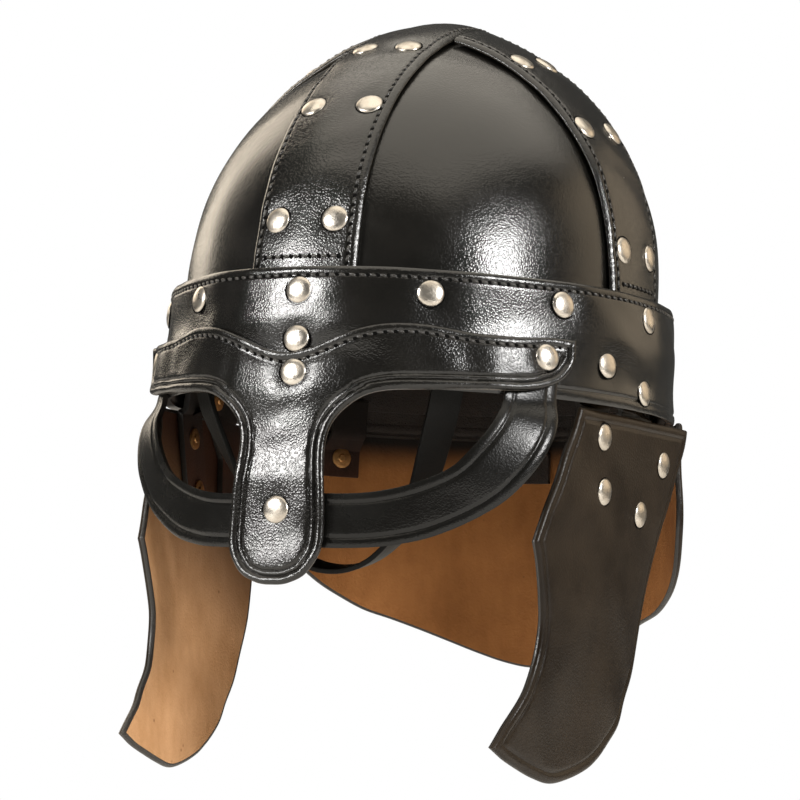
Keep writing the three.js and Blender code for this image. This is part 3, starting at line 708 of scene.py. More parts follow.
def band_lift(spot):
    """How far the band's inner face stands off the wall where it passes over the feet of the straps."""
    from_ridge = np.abs(spot[:, 0]) - RIDGE_HALF_FOOT
    from_side = np.abs(spot[:, 1] - SIDE_STRAP_Y) - SIDE_HALF_FOOT
    off_ridge = smooth(from_ridge, LIFT_NEAR, RIDGE_LIFT_FAR)
    off_side = smooth(from_side, LIFT_NEAR, SIDE_LIFT_FAR)
    far = np.minimum(off_ridge, off_side)
    lift = (STRAP_LIFT + BAND_SEAT - GAP) * (1 - far) * smooth(spot[:, 2], LIFT_NONE_Z, LIFT_FULL_Z)
    return GAP + lift + STAND_OFF * far * smooth(spot[:, 2], STAND_FROM_Z, BAND_HEIGHT)


def crease_relief(inward):
    """Height off a piece's face at a distance in from a creased edge."""
    rolled = -EDGE_DROP * (1 - np.clip(inward / EDGE_REACH, 0, 1)) ** 2
    return rolled - CREASE_DEPTH * np.exp(-(((inward - CREASE_IN) / CREASE_HALF) ** 2))


rivet_spots = {}
for rivet_node in frame["nodes"]:
    if "rivet" in rivet_node:
        rivet_low, rivet_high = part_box(rivet_node)
        rivet_spots[rivet_node] = np.array((rivet_low + rivet_high) / 2)


def band_place(turn, z):
    """Stations turn round from the front, and rows rise from the band's lower edge."""
    spot, outward = wall_at(turn, z)
    relief = np.where(z < BAND_HEIGHT / 2, crease_relief(z), seam_relief(BAND_HEIGHT - z))
    lift = band_lift(spot) + BAND_THICK + relief + uneven(spot, BAND_SWELL_SIZE, BAND_SWELL_DEPTH)
    lift += dimples(spot, band_pulled, DIMPLE_DEPTH, DIMPLE_REACH)
    return spot + outward * lift[:, None], outward


band_pulled = [spot for name, spot in rivet_spots.items() if name.startswith(BAND_RIVETS)]
band_rows = np.array(BAND_ROWS_IN)
band_rows = np.concatenate((band_rows, [BAND_HEIGHT / 2], BAND_HEIGHT - band_rows[::-1]))
band = strip("brow_band_leather", np.linspace(0, 2 * math.pi, BAND_STATIONS + 1), band_rows, band_place)
weld(band)
thicken(band, BAND_THICK, STRAP_EDGE_ROUND, (band_grain, dark_flesh, worn_edge))
band.data.materials.append(black_edge)
# The cut faces of the lower edge take the dye
for face in band.data.polygons:
    if face.material_index == 2 and face.center.z < BAND_HEIGHT / 2:
        face.material_index = 3
fit(band, "brow_band")
fine = np.linspace(0, 2 * math.pi, BAND_SEAM_STATIONS)
seam("band_stitches", fine, np.full(len(fine), BAND_HEIGHT - SEAM_IN), band_place)

# Eye strip: one strip of black leather from temple to temple, under both eyes and behind the nasal.
# It is creased along both edges, and its skived ends are caught between the visor and the band.
EYE_STRIP_LIFT = GAP + BAND_THICK + GAP
EYE_STRIP_WIDTH = 0.0195
EYE_STRIP_THICK = 0.0025
EYE_SHEET_THICK = 0.0021
EYE_EDGE_ROUND = 0.0005
EYE_SWELL_SIZE = 0.009
EYE_SWELL_DEPTH = 0.00015
EYE_CREASE_IN = 0.0036
EYE_STATIONS = 150
EYE_ROWS_IN = (0, 0.0005, 0.0012, 0.0021, 0.0028, 0.0032, 0.0036, 0.004, 0.0045, 0.0053, 0.0072)
EYE_STRIP = (
    # inner angle, inner z, outer angle, outer z, thickness, inner bulge, outer bulge
    (47.0, 0.019, 58.0, 0.019, 0.0010, 0, 0),
    (46.7, 0.008, 58.4, 0.008, 0.0010, 0, 0),
    (46.0, -0.001, 57.7, -0.0012, 0.0012, 0, 0.0006),
    (44.2, -0.0077, 56.4, -0.0095, 0.0024, 0.0012, 0.0042),
    (41.8, -0.0142, 54.2, -0.0185, 0.0025, 0.0020, 0.0060),
    (38.9, -0.0207, 50.8, -0.0288, 0.0025, 0.0022, 0.0056),
    (35.4, -0.0275, 46.1, -0.0388, 0.0025, 0.0018, 0.0036),
    (30.8, -0.0323, 39.6, -0.0470, 0.0025, 0.0010, 0.0016),
    (25.2, -0.0359, 31.2, -0.0540, 0.0025, 0, 0),
    (19.2, -0.0382, 22.5, -0.0576, 0.0025, 0, 0),
    (13.6, -0.0390, 15.0, -0.0587, 0.0025, 0, 0),
    (7.0, -0.0390, 7.4, -0.0588, 0.0025, 0, 0),
    (0.0, -0.0390, 0.0, -0.0588, 0.0025, 0, 0),
)


def through_points(points, stops):
    """A smooth line through points, at stops that count along them from 0."""
    points = np.asarray(points, float)
    last = len(points) - 1
    first = np.clip(np.floor(stops).astype(int), 0, last - 1)
    share = (stops - first)[:, None]
    before = points[np.maximum(first - 1, 0)]
    start, end = points[first], points[first + 1]
    after = points[np.minimum(first + 2, last)]
    leave, arrive = (end - before) / 2, (after - start) / 2
    square, cube = share**2, share**3
    return (
        (2 * cube - 3 * square + 1) * start
        + (cube - 2 * square + share) * leave
        + (3 * square - 2 * cube) * end
        + (cube - square) * arrive
    )


eye_rows = np.array(EYE_STRIP)
eye_whole = np.concatenate((eye_rows, (eye_rows * (-1, 1, -1, 1, 1, 1, 1))[-2::-1]))


def eye_place(stop, share):
    """Stations go from temple to temple, and rows from the edge at the eye to the outer edge."""
    row = through_points(eye_whole, stop)
    turn = np.radians(row[:, 0] + (row[:, 2] - row[:, 0]) * share)
    spot, outward = wall_at(turn, row[:, 1] + (row[:, 3] - row[:, 1]) * share)
    inward = EYE_STRIP_WIDTH * np.minimum(share, 1 - share)
    relief = crease_relief(inward + CREASE_IN - EYE_CREASE_IN)
    relief += uneven(spot, EYE_SWELL_SIZE, EYE_SWELL_DEPTH)
    bulge = np.maximum(row[:, 5] + (row[:, 6] - row[:, 5]) * share, 0)
    lift = EYE_STRIP_LIFT + row[:, 4] + bulge + relief * np.minimum(row[:, 4] / EYE_STRIP_THICK, 1)
    return spot + outward * lift[:, None], outward


eye_in = np.array(EYE_ROWS_IN) / EYE_STRIP_WIDTH
eye_strip = strip(
    "eye_strip_leather",
    np.linspace(0, len(eye_whole) - 1, EYE_STATIONS),
    np.concatenate((eye_in, [0.5], 1 - eye_in[::-1])),
    eye_place,
)
eye_grain = leather(
    "eye_grain", BLACK_DYE, BLACK_DYE, roughness=0.25, pebble=1200, wrinkle=140, depth=0.11, specular=0.34
)
thicken(eye_strip, EYE_SHEET_THICK, EYE_EDGE_ROUND, (eye_grain, dark_flesh, black_edge))
fit(eye_strip, "eye_strip")

# Visor: a brow plate with two eye arches and a nasal, cut from one piece of black leather and moulded over
# the band and the eye strip. Its upper edge is sewn, and a raised bead with two creased lines runs along
# the arches and round the nasal.
VISOR_SEAT = 0.0005
VISOR_THICK = 0.0027
EYE_STRIP_SKIVED = 0.0012
TEMPLE_LIFT_FROM = 37
TEMPLE_LIFT_FULL = 45
NOSE_RAMPS = (
    # from z, to z, rise
    (-0.001, -0.009, -0.00025),
    (-0.008, -0.024, 0.00075),
    (-0.02, -0.036, 0.00175),
    (-0.0365, -0.0445, 0.0001),
)
NASAL_SKIVE = 0.0008
SKIVE_FROM = 0.008
SKIVE_FULL = 0.036
NASAL_FLARE = 0.0014
FLARE_FROM = 0.047
FLARE_FULL = 0.072
FRONT_RADIUS = HALF_WIDTH**2 / HALF_LENGTH
NASAL_FLATTEN = 0.55
NASAL_HALF = 0.017
NASAL_BELOW = -0.05
FLATTEN_FROM = 0.006
FLATTEN_FULL = 0.026
VISOR_TOP = (
    # angle, z
    (0, 0.0118),
    (5.1, 0.0134),
    (10.2, 0.0169),
    (14.2, 0.0195),
    (17.7, 0.0214),
    (21.7, 0.0227),
    (27.0, 0.0232),
    (33.0, 0.0225),
    (40.0, 0.0210),
    (46.0, 0.0206),
    (51.0, 0.0209),
    (55.0, 0.0214),
    (58.0, 0.0215),
    (61.2, 0.0214),
)
VISOR_ARCH = (
    # angle, z
    (61.5, 0.0176),
    (61.4, 0.0138),
    (60.2, 0.0096),
    (58.0, 0.0056),
    (55.0, 0.0030),
    (51.0, 0.0011),
    (46.0, 0.0004),
    (40.0, 0.0002),
    (33.0, -0.0001),
    (27.0, -0.0005),
    (21.7, -0.0012),
    (17.7, -0.0030),
    (14.2, -0.0068),
    (11.6, -0.0114),
    (10.2, -0.0163),
    (9.65, -0.0230),
    (9.9, -0.0310),
    (10.2, -0.0390),
    (10.45, -0.0490),
    (10.3, -0.0580),
    (9.2, -0.0635),
    (6.9, -0.0690),
    (3.9, -0.0717),
    (1.6, -0.0726),
)
VISOR_ROWS_IN = (
    *(0.00012, 0.0004, 0.0009, 0.0015, 0.0022, 0.0028, 0.0032),
    *(0.0036, 0.0042, 0.0047, 0.0051, 0.0055, 0.0062),
)
VISOR_GRID = 0.0015
BEAD_HEIGHT = 0.0007
BEAD_FULLNESS = 0.7
BEAD_IN = 0.0031
BEAD_CREASE_HALF = 0.00045
SECOND_CREASE_IN = 0.0051
EDGE_ROUND = 0.0009
OUTLINE_STEP = 0.0016
CLEAR_END = 0.0075
VISOR_DIMPLE_DEPTH = 0.002
NASAL_DIMPLE_DEPTH = 0.0005
VISOR_DIMPLE_REACH = 0.0055
VISOR_SWELL_SIZE = 0.0075
VISOR_SWELL_DEPTH = 0.0002
BROW_REACH = 200
BROW_STEPS = 2001
FINE_STEPS = 40
FIRST_GRID_LINE = 0.6
CUT_WELD = 0.00004
FLAT_FACE = 0.5

brow_turns = np.radians(np.linspace(-BROW_REACH, BROW_REACH, BROW_STEPS))
brow_steps = np.hypot(HALF_WIDTH * np.cos(brow_turns), HALF_LENGTH * np.sin(brow_turns))
brow_run = np.cumsum(brow_steps * np.gradient(brow_turns))
brow_run -= brow_run[BROW_STEPS // 2]


def flat_run(degrees):
    """Distance along the brow line from the front, which is how the pattern lies flat."""
    return np.interp(np.radians(degrees), brow_turns, brow_run)


def turn_of(run):
    """Angle round the brow at a distance along the flat pattern."""
    return np.interp(run, brow_run, brow_turns)


def drawn(points, step, clear_start=0, clear_end=0):
    """A smooth line through points with even steps, and clear of a sharp corner at its start or end."""
    fine = through_points(points, np.linspace(0, len(points) - 1, FINE_STEPS * len(points)))
    run = np.concatenate(([0], np.cumsum(np.linalg.norm(np.diff(fine, axis=0), axis=1))))
    inner = run[-1] - clear_start - clear_end
    stops = np.linspace(clear_start, run[-1] - clear_end, max(2, round(inner / step)) + 1)
    stops = np.unique(np.concatenate(([0], stops, [run[-1]])))
    return np.stack([np.interp(stops, run, fine[:, axis]) for axis in range(2)], 1)


def cut(name, outline, rows_in, grid, thick, faces):
    """A flat piece of hide cut to its outline, with rows along its border and a grid across it."""
    bpy.ops.object.select_all(action="DESELECT")
    bpy.ops.mesh.primitive_circle_add(vertices=len(outline), radius=1, fill_type="NGON")
    piece = bpy.context.object
    piece.name = piece.data.name = name
    for vertex, corner in zip(piece.data.vertices, outline):
        vertex.co = (corner[0], corner[1], 0)
    bpy.ops.object.mode_set(mode="EDIT")
    bpy.ops.mesh.select_all(action="SELECT")
    bpy.ops.mesh.normals_make_consistent(inside=False)
    for width in np.diff((0, *rows_in)):
        bpy.ops.mesh.inset(thickness=width, depth=0, use_even_offset=True)
    for axis in range(2):
        low, high = outline[:, axis].min(), outline[:, axis].max()
        for stop in np.arange(low + grid * FIRST_GRID_LINE, high, grid):
            bpy.ops.mesh.select_all(action="SELECT")
            where = [0.0, 0.0, 0.0]
            where[axis] = stop
            bpy.ops.mesh.bisect(plane_co=where, plane_no=[float(axis == 0), float(axis == 1), 0])
    bpy.ops.mesh.select_all(action="SELECT")
    bpy.ops.mesh.remove_doubles(threshold=CUT_WELD)
    bpy.ops.mesh.extrude_region_move(TRANSFORM_OT_translate={"value": (0, 0, -thick)})
    bpy.ops.mesh.select_all(action="SELECT")
    bpy.ops.mesh.normals_make_consistent(inside=False)
    bpy.ops.object.mode_set(mode="OBJECT")
    for material in faces:
        piece.data.materials.append(material)
    for face in piece.data.polygons:
        face.material_index = 0 if face.normal.z > FLAT_FACE else 1 if face.normal.z < -FLAT_FACE else 2
    flat = np.array([vertex.co for vertex in piece.data.vertices])
    return piece, flat[:, :2], np.where(flat[:, 2] > -thick / 2, 1.0, -1.0)


def mould(piece, spot, outward, off, relief, facing, thick, inward):
    """Bends a cut piece onto its shape, its grain side raised by its relief and both its edges rounded."""
    near = np.clip(inward / EDGE_ROUND, 0, 1)
    rolled = EDGE_ROUND * (np.sqrt(1 - (1 - near) ** 2) - 1)
    height = np.where(facing > 0, off + relief + rolled, off - thick - rolled)
    bend(piece, spot + outward * height[:, None], outward * facing[:, None])
    hold(piece)
    bpy.ops.object.shade_smooth_by_angle(angle=math.radians(SMOOTH_ANGLE))


def distance_to(line, points):
    """Distance from points to a line, on the flat pattern."""
    best = np.full(len(points), np.inf)
    for start, end in zip(line[:-1], line[1:]):
        side = end - start
        share = np.clip((points - start) @ side / max(side @ side, 1e-12), 0, 1)
        best = np.minimum(best, np.linalg.norm(points - start - share[:, None] * side, axis=1))
    return best


def mirrored(half):
    """A whole line from its left half, which starts on the middle line."""
    half = np.asarray(half, float)
    return np.concatenate(((half * (-1, 1))[:0:-1], half))


def bead_relief(inward):
    """Height of the visor's bead and its two creases at a distance in from the edge."""
    bead = BEAD_HEIGHT * np.sin(np.pi * np.clip(inward / BEAD_IN, 0, 1)) ** BEAD_FULLNESS
    first = CREASE_DEPTH * np.exp(-(((inward - BEAD_IN) / BEAD_CREASE_HALF) ** 2))
    second = CREASE_DEPTH * np.exp(-(((inward - SECOND_CREASE_IN) / BEAD_CREASE_HALF) ** 2))
    return bead - first - second


def visor_lift(turn, z):
    """Spots of the wall under the visor, and how far its grain side stands off them before any relief."""
    spot, outward = wall_at(turn, z)
    temple = smooth(np.abs(np.degrees(turn)), TEMPLE_LIFT_FROM, TEMPLE_LIFT_FULL) * (EYE_STRIP_SKIVED + GAP)
    nose = sum(rise * smooth(-z, -start, -full) for start, full, rise in NOSE_RAMPS)
    nose = nose + NASAL_FLARE * smooth(-z, FLARE_FROM, FLARE_FULL)
    bow = np.minimum(np.abs(spot[:, 0]), NASAL_HALF) ** 2 / (2 * FRONT_RADIUS)
    nose = nose + NASAL_FLATTEN * bow * smooth(-z, FLATTEN_FROM, FLATTEN_FULL)
    return spot, outward, band_lift(spot) + BAND_THICK + VISOR_SEAT + temple + nose + VISOR_THICK


visor_half = np.array(VISOR_TOP + VISOR_ARCH, float)
visor_half[:, 0] = flat_run(visor_half[:, 0])
top_half = visor_half[: len(VISOR_TOP)]
arch_half = visor_half[len(VISOR_TOP) - 1 :]
visor_top = drawn(mirrored(top_half), OUTLINE_STEP, CLEAR_END, CLEAR_END)
arch_past = np.concatenate((arch_half, [(-arch_half[-1, 0], arch_half[-1, 1])]))
half_arch = drawn(arch_past, OUTLINE_STEP, CLEAR_END)
from_middle = np.where(half_arch[:, 1] < NASAL_BELOW, np.abs(half_arch[:, 0]), np.inf)
half_arch = half_arch[: np.argmin(from_middle)]
visor_arch = np.concatenate((half_arch, (half_arch * (-1, 1))[::-1]))
visor_outline = np.concatenate((visor_top[:-1], visor_arch[:-1]))
visor_grain = leather(
    "visor_grain", BLACK_DYE, WORN_DYE, roughness=0.22, pebble=1200, wrinkle=170, depth=0.18, coat=0.06
)
visor, visor_flat, visor_facing = cut(
    "visor_leather",
    visor_outline,
    VISOR_ROWS_IN,
    VISOR_GRID,
    VISOR_THICK,
    (visor_grain, dark_flesh, worn_edge),
)
visor_spot, visor_out, visor_off = visor_lift(turn_of(visor_flat[:, 0]), visor_flat[:, 1])
from_arch = distance_to(visor_arch, visor_flat)
from_top = distance_to(visor_top, visor_flat)
visor_relief = np.where(from_top < from_arch, seam_relief(from_top), bead_relief(from_arch))
visor_relief += uneven(visor_spot, VISOR_SWELL_SIZE, VISOR_SWELL_DEPTH)
visor_pulled = [spot for name, spot in rivet_spots.items() if name.startswith("visor")]
visor_relief += dimples(visor_spot, visor_pulled, VISOR_DIMPLE_DEPTH, VISOR_DIMPLE_REACH)
visor_relief += dimples(visor_spot, [rivet_spots["nasal_rivet"]], NASAL_DIMPLE_DEPTH, VISOR_DIMPLE_REACH)
from_edge = np.minimum(from_top, from_arch)
visor_thick = VISOR_THICK - NASAL_SKIVE * smooth(-visor_flat[:, 1], SKIVE_FROM, SKIVE_FULL)
mould(visor, visor_spot, visor_out, visor_off, visor_relief, visor_facing, visor_thick, from_edge)
fit(visor, "visor")
visor_seam = visor_top - (0, SEAM_IN)
seam_spot, seam_out, seam_off = visor_lift(turn_of(visor_seam[:, 0]), visor_seam[:, 1])
seam_off += uneven(seam_spot, VISOR_SWELL_SIZE, VISOR_SWELL_DEPTH) - SEAM_DEPTH + SEAM_STAND
seam_off += dimples(seam_spot, visor_pulled, VISOR_DIMPLE_DEPTH, VISOR_DIMPLE_REACH)
fit(stitch_row("visor_stitches", seam_spot + seam_out * seam_off[:, None], seam_out), None)

# Cheek guards: sabre-shaped flaps of thick leather that lean in towards the jaw and curl round its back.
# Black grain outside with a creased border, and the tan flesh side of the hide inside.
CHEEK_X = 0.0949
CHEEK_TOE_IN = 0.1015
CHEEK_LEAN = 0.0583
CHEEK_CURL_TOP = 0.6
CHEEK_CURL_LOW = 3.0
CHEEK_CURL_FROM = -0.018
CHEEK_CURL_DEPTH = 0.08
GUARD_THICK = 0.003
CHEEK_FRONT_UPPER = (
    # y, z from the top corner down to the cheek point
    (-0.0480, -0.0020),
    (-0.0510, -0.0115),
    (-0.0560, -0.0205),
    (-0.0605, -0.0300),
    (-0.0660, -0.0395),
    (-0.0693, -0.0465),
    (-0.0724, -0.0535),
)
CHEEK_FRONT_LOWER = (
    # y, z from the cheek point down to the tip
    (-0.0724, -0.0535),
    (-0.0692, -0.0600),
    (-0.0650, -0.0740),
    (-0.0630, -0.0835),
    (-0.0643, -0.0945),
    (-0.0690, -0.1040),
    (-0.0776, -0.1150),
    (-0.0842, -0.1215),
    (-0.0916, -0.1285),
)
CHEEK_FOOT = (
    # y, z from the tip along the lower edge and up the rear edge
    (-0.0916, -0.1285),
    (-0.0820, -0.1325),
    (-0.0705, -0.1360),
    (-0.0585, -0.1392),
    (-0.0465, -0.1410),
    (-0.0335, -0.1392),
    (-0.0220, -0.1360),
    (-0.0145, -0.1325),
    (-0.0080, -0.1285),
    (0.0005, -0.1215),
    (0.0055, -0.1150),
    (0.0125, -0.1040),
    (0.0170, -0.0945),
    (0.0210, -0.0835),
    (0.0235, -0.0740),
    (0.0270, -0.0600),
    (0.0305, -0.0465),
    (0.0325, -0.0395),
    (0.0360, -0.0300),
    (0.0390, -0.0205),
    (0.0415, -0.0115),
    (0.0430, -0.0020),
)
GUARD_ROWS_IN = (0.00012, 0.0004, 0.0009, 0.0015, 0.0024, 0.0032, 0.0037, 0.004, 0.0043, 0.0048, 0.0056)
GUARD_GRID = 0.0045
GUARD_STEP = 0.0022
GUARD_SWELL_SIZE = 0.016
GUARD_SWELL_DEPTH = 0.0005
CLEAR_TOP = 0.0075
CLEAR_POINT = 0.0032
CLEAR_TIP = 0.0095
EDGE_DYED = 0.0016
FOOT_EDGE_DYED = 0.001
RIGHT_TOP_WIDER = 0.006
RIGHT_TOP_HIGHER = 0.0014
RIGHT_WIDER_DOWN_TO = 0.046
TAN_FLESH = (0.58, 0.33, 0.165, 1)
TAN_FLESH_DARK = (0.42, 0.22, 0.094, 1)
SPECK_BROWN = (0.2, 0.085, 0.032, 1)
# Painted shade: the tan flesh darkens towards the top and the back of the cheek guards, where the helmet
# shades their inside
PAINTED_SHADE = (0.032, 0.0088, 0.0018, 1)
PAINTED_SHADE_LEAN = 0.45
PAINTED_SHADE_FROM = -0.101
PAINTED_SHADE_FULL = -0.023
GUARD_DYE = (0.0085, 0.0052, 0.0027, 1)
GUARD_DYE_WORN = (0.017, 0.0108, 0.0058, 1)

# Flesh side: matted fibres and small brown specks, as a height, a tone and a mask of the specks
flesh_group, given, put = new_group(
    "flesh_side", {"Vector": "Vector"}, {"Height": "Float", "Tone": "Float", "Speck": "Float"}
)
fibre = node(flesh_group, "TexNoise", {"Vector": given["Vector"], "Scale": 900, "Detail": 6})
cloud = node(
    flesh_group, "TexNoise", {"Vector": given["Vector"], "Scale": 24, "Detail": 6, "Roughness": 0.62}
)
drawn_out = node(
    flesh_group, "VectorMath", {0: given["Vector"], 1: (1, 1, 0.4)}, operation="MULTIPLY"
).outputs[0]
streak = node(flesh_group, "TexNoise", {"Vector": drawn_out, "Scale": 190, "Detail": 3})
mottled = node(
    flesh_group,
    "Mix",
    {0: 0.25, 2: cloud.outputs["Fac"], 3: streak.outputs["Fac"]},
).outputs[0]
dot = node(flesh_group, "TexVoronoi", {"Vector": given["Vector"], "Scale": 82}, feature="F1")
speck = node(
    flesh_group,
    "MapRange",
    {"Value": dot.outputs["Distance"], "From Min": 0.035, "From Max": 0.075, "To Min": 0.8, "To Max": 0},
)
flesh_group.links.new(fibre.outputs["Fac"], put["Height"])
flesh_group.links.new(mottled, put["Tone"])
flesh_group.links.new(speck.outputs["Result"], put["Speck"])


def flesh(name, light, dark, spotted, shade_colour, lean, from_z, full_z):
    """Undyed flesh side of a hide, with painted shade that darkens it towards its top, and with a lean also
    towards its back, where the helmet shades its inside.
    """
    material = bpy.data.materials.new(name)
    material.use_nodes = True
    tree = material.node_tree
    skin = tree.nodes["Principled BSDF"]
    skin.inputs["Roughness"].default_value = 0.86
    skin.inputs["Specular IOR Level"].default_value = 0.25
    side = node(tree, "Group", node_tree=flesh_group)
    place = node(tree, "TexCoord").outputs["Object"]
    tree.links.new(place, side.inputs["Vector"])
    apart = node(tree, "SeparateXYZ", {"Vector": place}).outputs
    # Painted shade: a spot's height, and with the lean how far back it is, sets how much shade is painted on
    # it
    level = node(tree, "Math", {0: apart["Y"], 1: lean, 2: apart["Z"]}, operation="MULTIPLY_ADD").outputs[0]
    shade_mask = node(
        tree,
        "MapRange",
        {"Value": level, "From Min": from_z, "From Max": full_z},
        interpolation_type="SMOOTHSTEP",
    ).outputs["Result"]
    shade = node(
        tree, "MapRange", {"Value": side.outputs["Tone"], "From Min": 0.36, "From Max": 0.64}
    ).outputs["Result"]
    ground = mix_colours(tree, shade, dark, light)
    specked = mix_colours(tree, side.outputs["Speck"], ground, spotted)
    tree.links.new(mix_colours(tree, shade_mask, specked, shade_colour), skin.inputs["Base Color"])
    relief = node(tree, "Bump", {"Height": side.outputs["Height"], "Strength": 0.5, "Distance": 0.0005})
    tree.links.new(relief.outputs["Normal"], skin.inputs["Normal"])
    return material


tan_flesh = flesh(
    "tan_flesh", TAN_FLESH, TAN_FLESH_DARK, SPECK_BROWN, PAINTED_SHADE, PAINTED_SHADE_LEAN, PAINTED_SHADE_FROM, PAINTED_SHADE_FULL
)
guard_grain = leather(
    "guard_grain",
    GUARD_DYE,
    GUARD_DYE_WORN,
    roughness=0.34,
    pebble=1050,
    wrinkle=130,
    depth=0.1,
    specular=0.2,
)


def dye_edge(piece, inward, reach):
    """Takes the black of the cut edge a little way in on the flesh side."""
    for face in piece.data.polygons:
        if face.material_index == 1 and max(inward[corner] for corner in face.vertices) < reach:
            face.material_index = 2


def cheek_place(side, y, z):
    """Spots of a cheek guard's outside, which leans in, toes in and curls in behind the jaw."""
    past = np.maximum(y - CHEEK_CURL_FROM, 0)
    curl = CHEEK_CURL_TOP + (CHEEK_CURL_LOW - CHEEK_CURL_TOP) * smooth(-z, 0, CHEEK_CURL_DEPTH)
    x = CHEEK_X + CHEEK_TOE_IN * y + CHEEK_LEAN * z - curl * past**2
    spot = np.stack((side * x, y, z), 1)
    back = 2 * curl * past - CHEEK_TOE_IN
    outward = np.stack((np.full(len(y), float(side)), back, np.full(len(y), -CHEEK_LEAN)), 1)
    return spot, outward / np.linalg.norm(outward, axis=1)[:, None]


for guard_name, guard_side, guard_wider, guard_higher in (
    ("left", 1, 0, 0),
    ("right", -1, RIGHT_TOP_WIDER, RIGHT_TOP_HIGHER),
):
    cheek_front = np.array(CHEEK_FRONT_UPPER)
    cheek_foot = np.array(CHEEK_FOOT)
    cheek_front[0, 1] += guard_higher
    cheek_foot[-1, 1] += guard_higher
    cheek_front[:, 0] -= guard_wider * np.clip(1 + cheek_front[:, 1] / RIGHT_WIDER_DOWN_TO, 0, 1)
    cheek_lines = (
        drawn(cheek_front, GUARD_STEP, CLEAR_TOP, CLEAR_POINT),
        drawn(CHEEK_FRONT_LOWER, GUARD_STEP, CLEAR_POINT, CLEAR_TIP),
        drawn(cheek_foot, GUARD_STEP, CLEAR_TIP, CLEAR_TOP),
        drawn((cheek_foot[-1], cheek_front[0]), GUARD_STEP, CLEAR_TOP, CLEAR_TOP),
    )
    cheek_outline = np.concatenate([line[:-1] for line in cheek_lines])
    cheek_closed = np.concatenate((cheek_outline, cheek_outline[:1]))
    guard, guard_flat, guard_facing = cut(
        "cheek_guard_" + guard_name + "_leather",
        cheek_outline,
        GUARD_ROWS_IN,
        GUARD_GRID,
        GUARD_THICK,
        (guard_grain, tan_flesh, black_edge),
    )
    guard_spot, guard_out = cheek_place(guard_side, guard_flat[:, 0], guard_flat[:, 1])
    guard_off = uneven(guard_spot, GUARD_SWELL_SIZE, GUARD_SWELL_DEPTH)
    guard_in = distance_to(cheek_closed, guard_flat)
    guard_relief = crease_relief(guard_in)
    mould(guard, guard_spot, guard_out, guard_off, guard_relief, guard_facing, GUARD_THICK, guard_in)
    dye_edge(guard, guard_in, EDGE_DYED)
    fit(guard, "cheek_guard_" + guard_name)

# Neck guard: a wide flap round the back, longest in the middle, of the same leather as the cheek guards.
# Its border is creased like theirs, and it hangs just outside the band on three hanger straps.
NECK_FLARE = 0.04
NECK_LIFT = GAP + BAND_THICK + 2 * GAP
NECK_TOP = 0.0015
NECK_SWELL_SIZE = 0.02
NECK_SWELL_DEPTH = 0.0006
# Painted shade: the neck guard's flesh is a darker, redder copy of the cheek guards' tan, for the shade
# inside the back
NECK_TAN_IN_SHADE = (0.34, 0.142, 0.043, 1)
NECK_TAN_IN_SHADE_DARK = (0.225, 0.087, 0.023, 1)
NECK_SPECK_IN_SHADE = (0.1, 0.038, 0.012, 1)
# Painted shade: the neck guard's flesh turns nearly black at its top, in the shade under the band
NECK_PAINTED_SHADE = (0.006, 0.004, 0.0028, 1)
NECK_PAINTED_SHADE_FROM = -0.016
NECK_PAINTED_SHADE_FULL = -0.001
NECK_FOOT = (
    # angle from the back, z
    (0, -0.0950),
    (6.5, -0.0932),
    (13, -0.0896),
    (20, -0.0850),
    (27, -0.0804),
    (33.5, -0.0765),
    (40, -0.0730),
    (46, -0.0678),
    (51, -0.0628),
    (55.5, -0.0568),
    (59, -0.0498),
    (61.2, -0.0420),
    (62, -0.0360),
    (62, -0.0180),
    (62, NECK_TOP),
)


def neck_place(turn, z):
    """Spots of the wall carried on downwards, where the neck guard flares from it."""
    spot, outward = wall_at(turn, z)
    return spot - outward * (NECK_FLARE * np.minimum(z, 0))[:, None], outward


neck_half = np.array(NECK_FOOT, float)
neck_half[:, 0] = [HALF_LENGTH * math.radians(a) for a in neck_half[:, 0]]
neck_foot = drawn(mirrored(neck_half), GUARD_STEP, CLEAR_TOP, CLEAR_TOP)
neck_top = drawn(neck_foot[[-1, 0]], GUARD_STEP, CLEAR_TOP, CLEAR_TOP)
neck_outline = np.concatenate((neck_foot[:-1], neck_top[:-1]))
# The neck guard's flesh is the shaded copy of the tan flesh: painted shade
neck_tan_in_shade = flesh(
    "neck_tan_in_shade",
    NECK_TAN_IN_SHADE,
    NECK_TAN_IN_SHADE_DARK,
    NECK_SPECK_IN_SHADE,
    NECK_PAINTED_SHADE,
    lean=0,
    from_z=NECK_PAINTED_SHADE_FROM,
    full_z=NECK_PAINTED_SHADE_FULL,
)
neck, neck_flat, neck_facing = cut(
    "neck_guard_leather",
    neck_outline,
    GUARD_ROWS_IN,
    GUARD_GRID,
    GUARD_THICK,
    (guard_grain, neck_tan_in_shade, black_edge),
)
neck_spot, neck_out = neck_place(math.pi + neck_flat[:, 0] / HALF_LENGTH, neck_flat[:, 1])
neck_off = NECK_LIFT + GUARD_THICK + uneven(neck_spot, NECK_SWELL_SIZE, NECK_SWELL_DEPTH)
neck_in = distance_to(np.concatenate((neck_outline, neck_outline[:1])), neck_flat)
mould(neck, neck_spot, neck_out, neck_off, crease_relief(neck_in), neck_facing, GUARD_THICK, neck_in)
dye_edge(neck, neck_in, FOOT_EDGE_DYED)
fit(neck, "neck_guard")

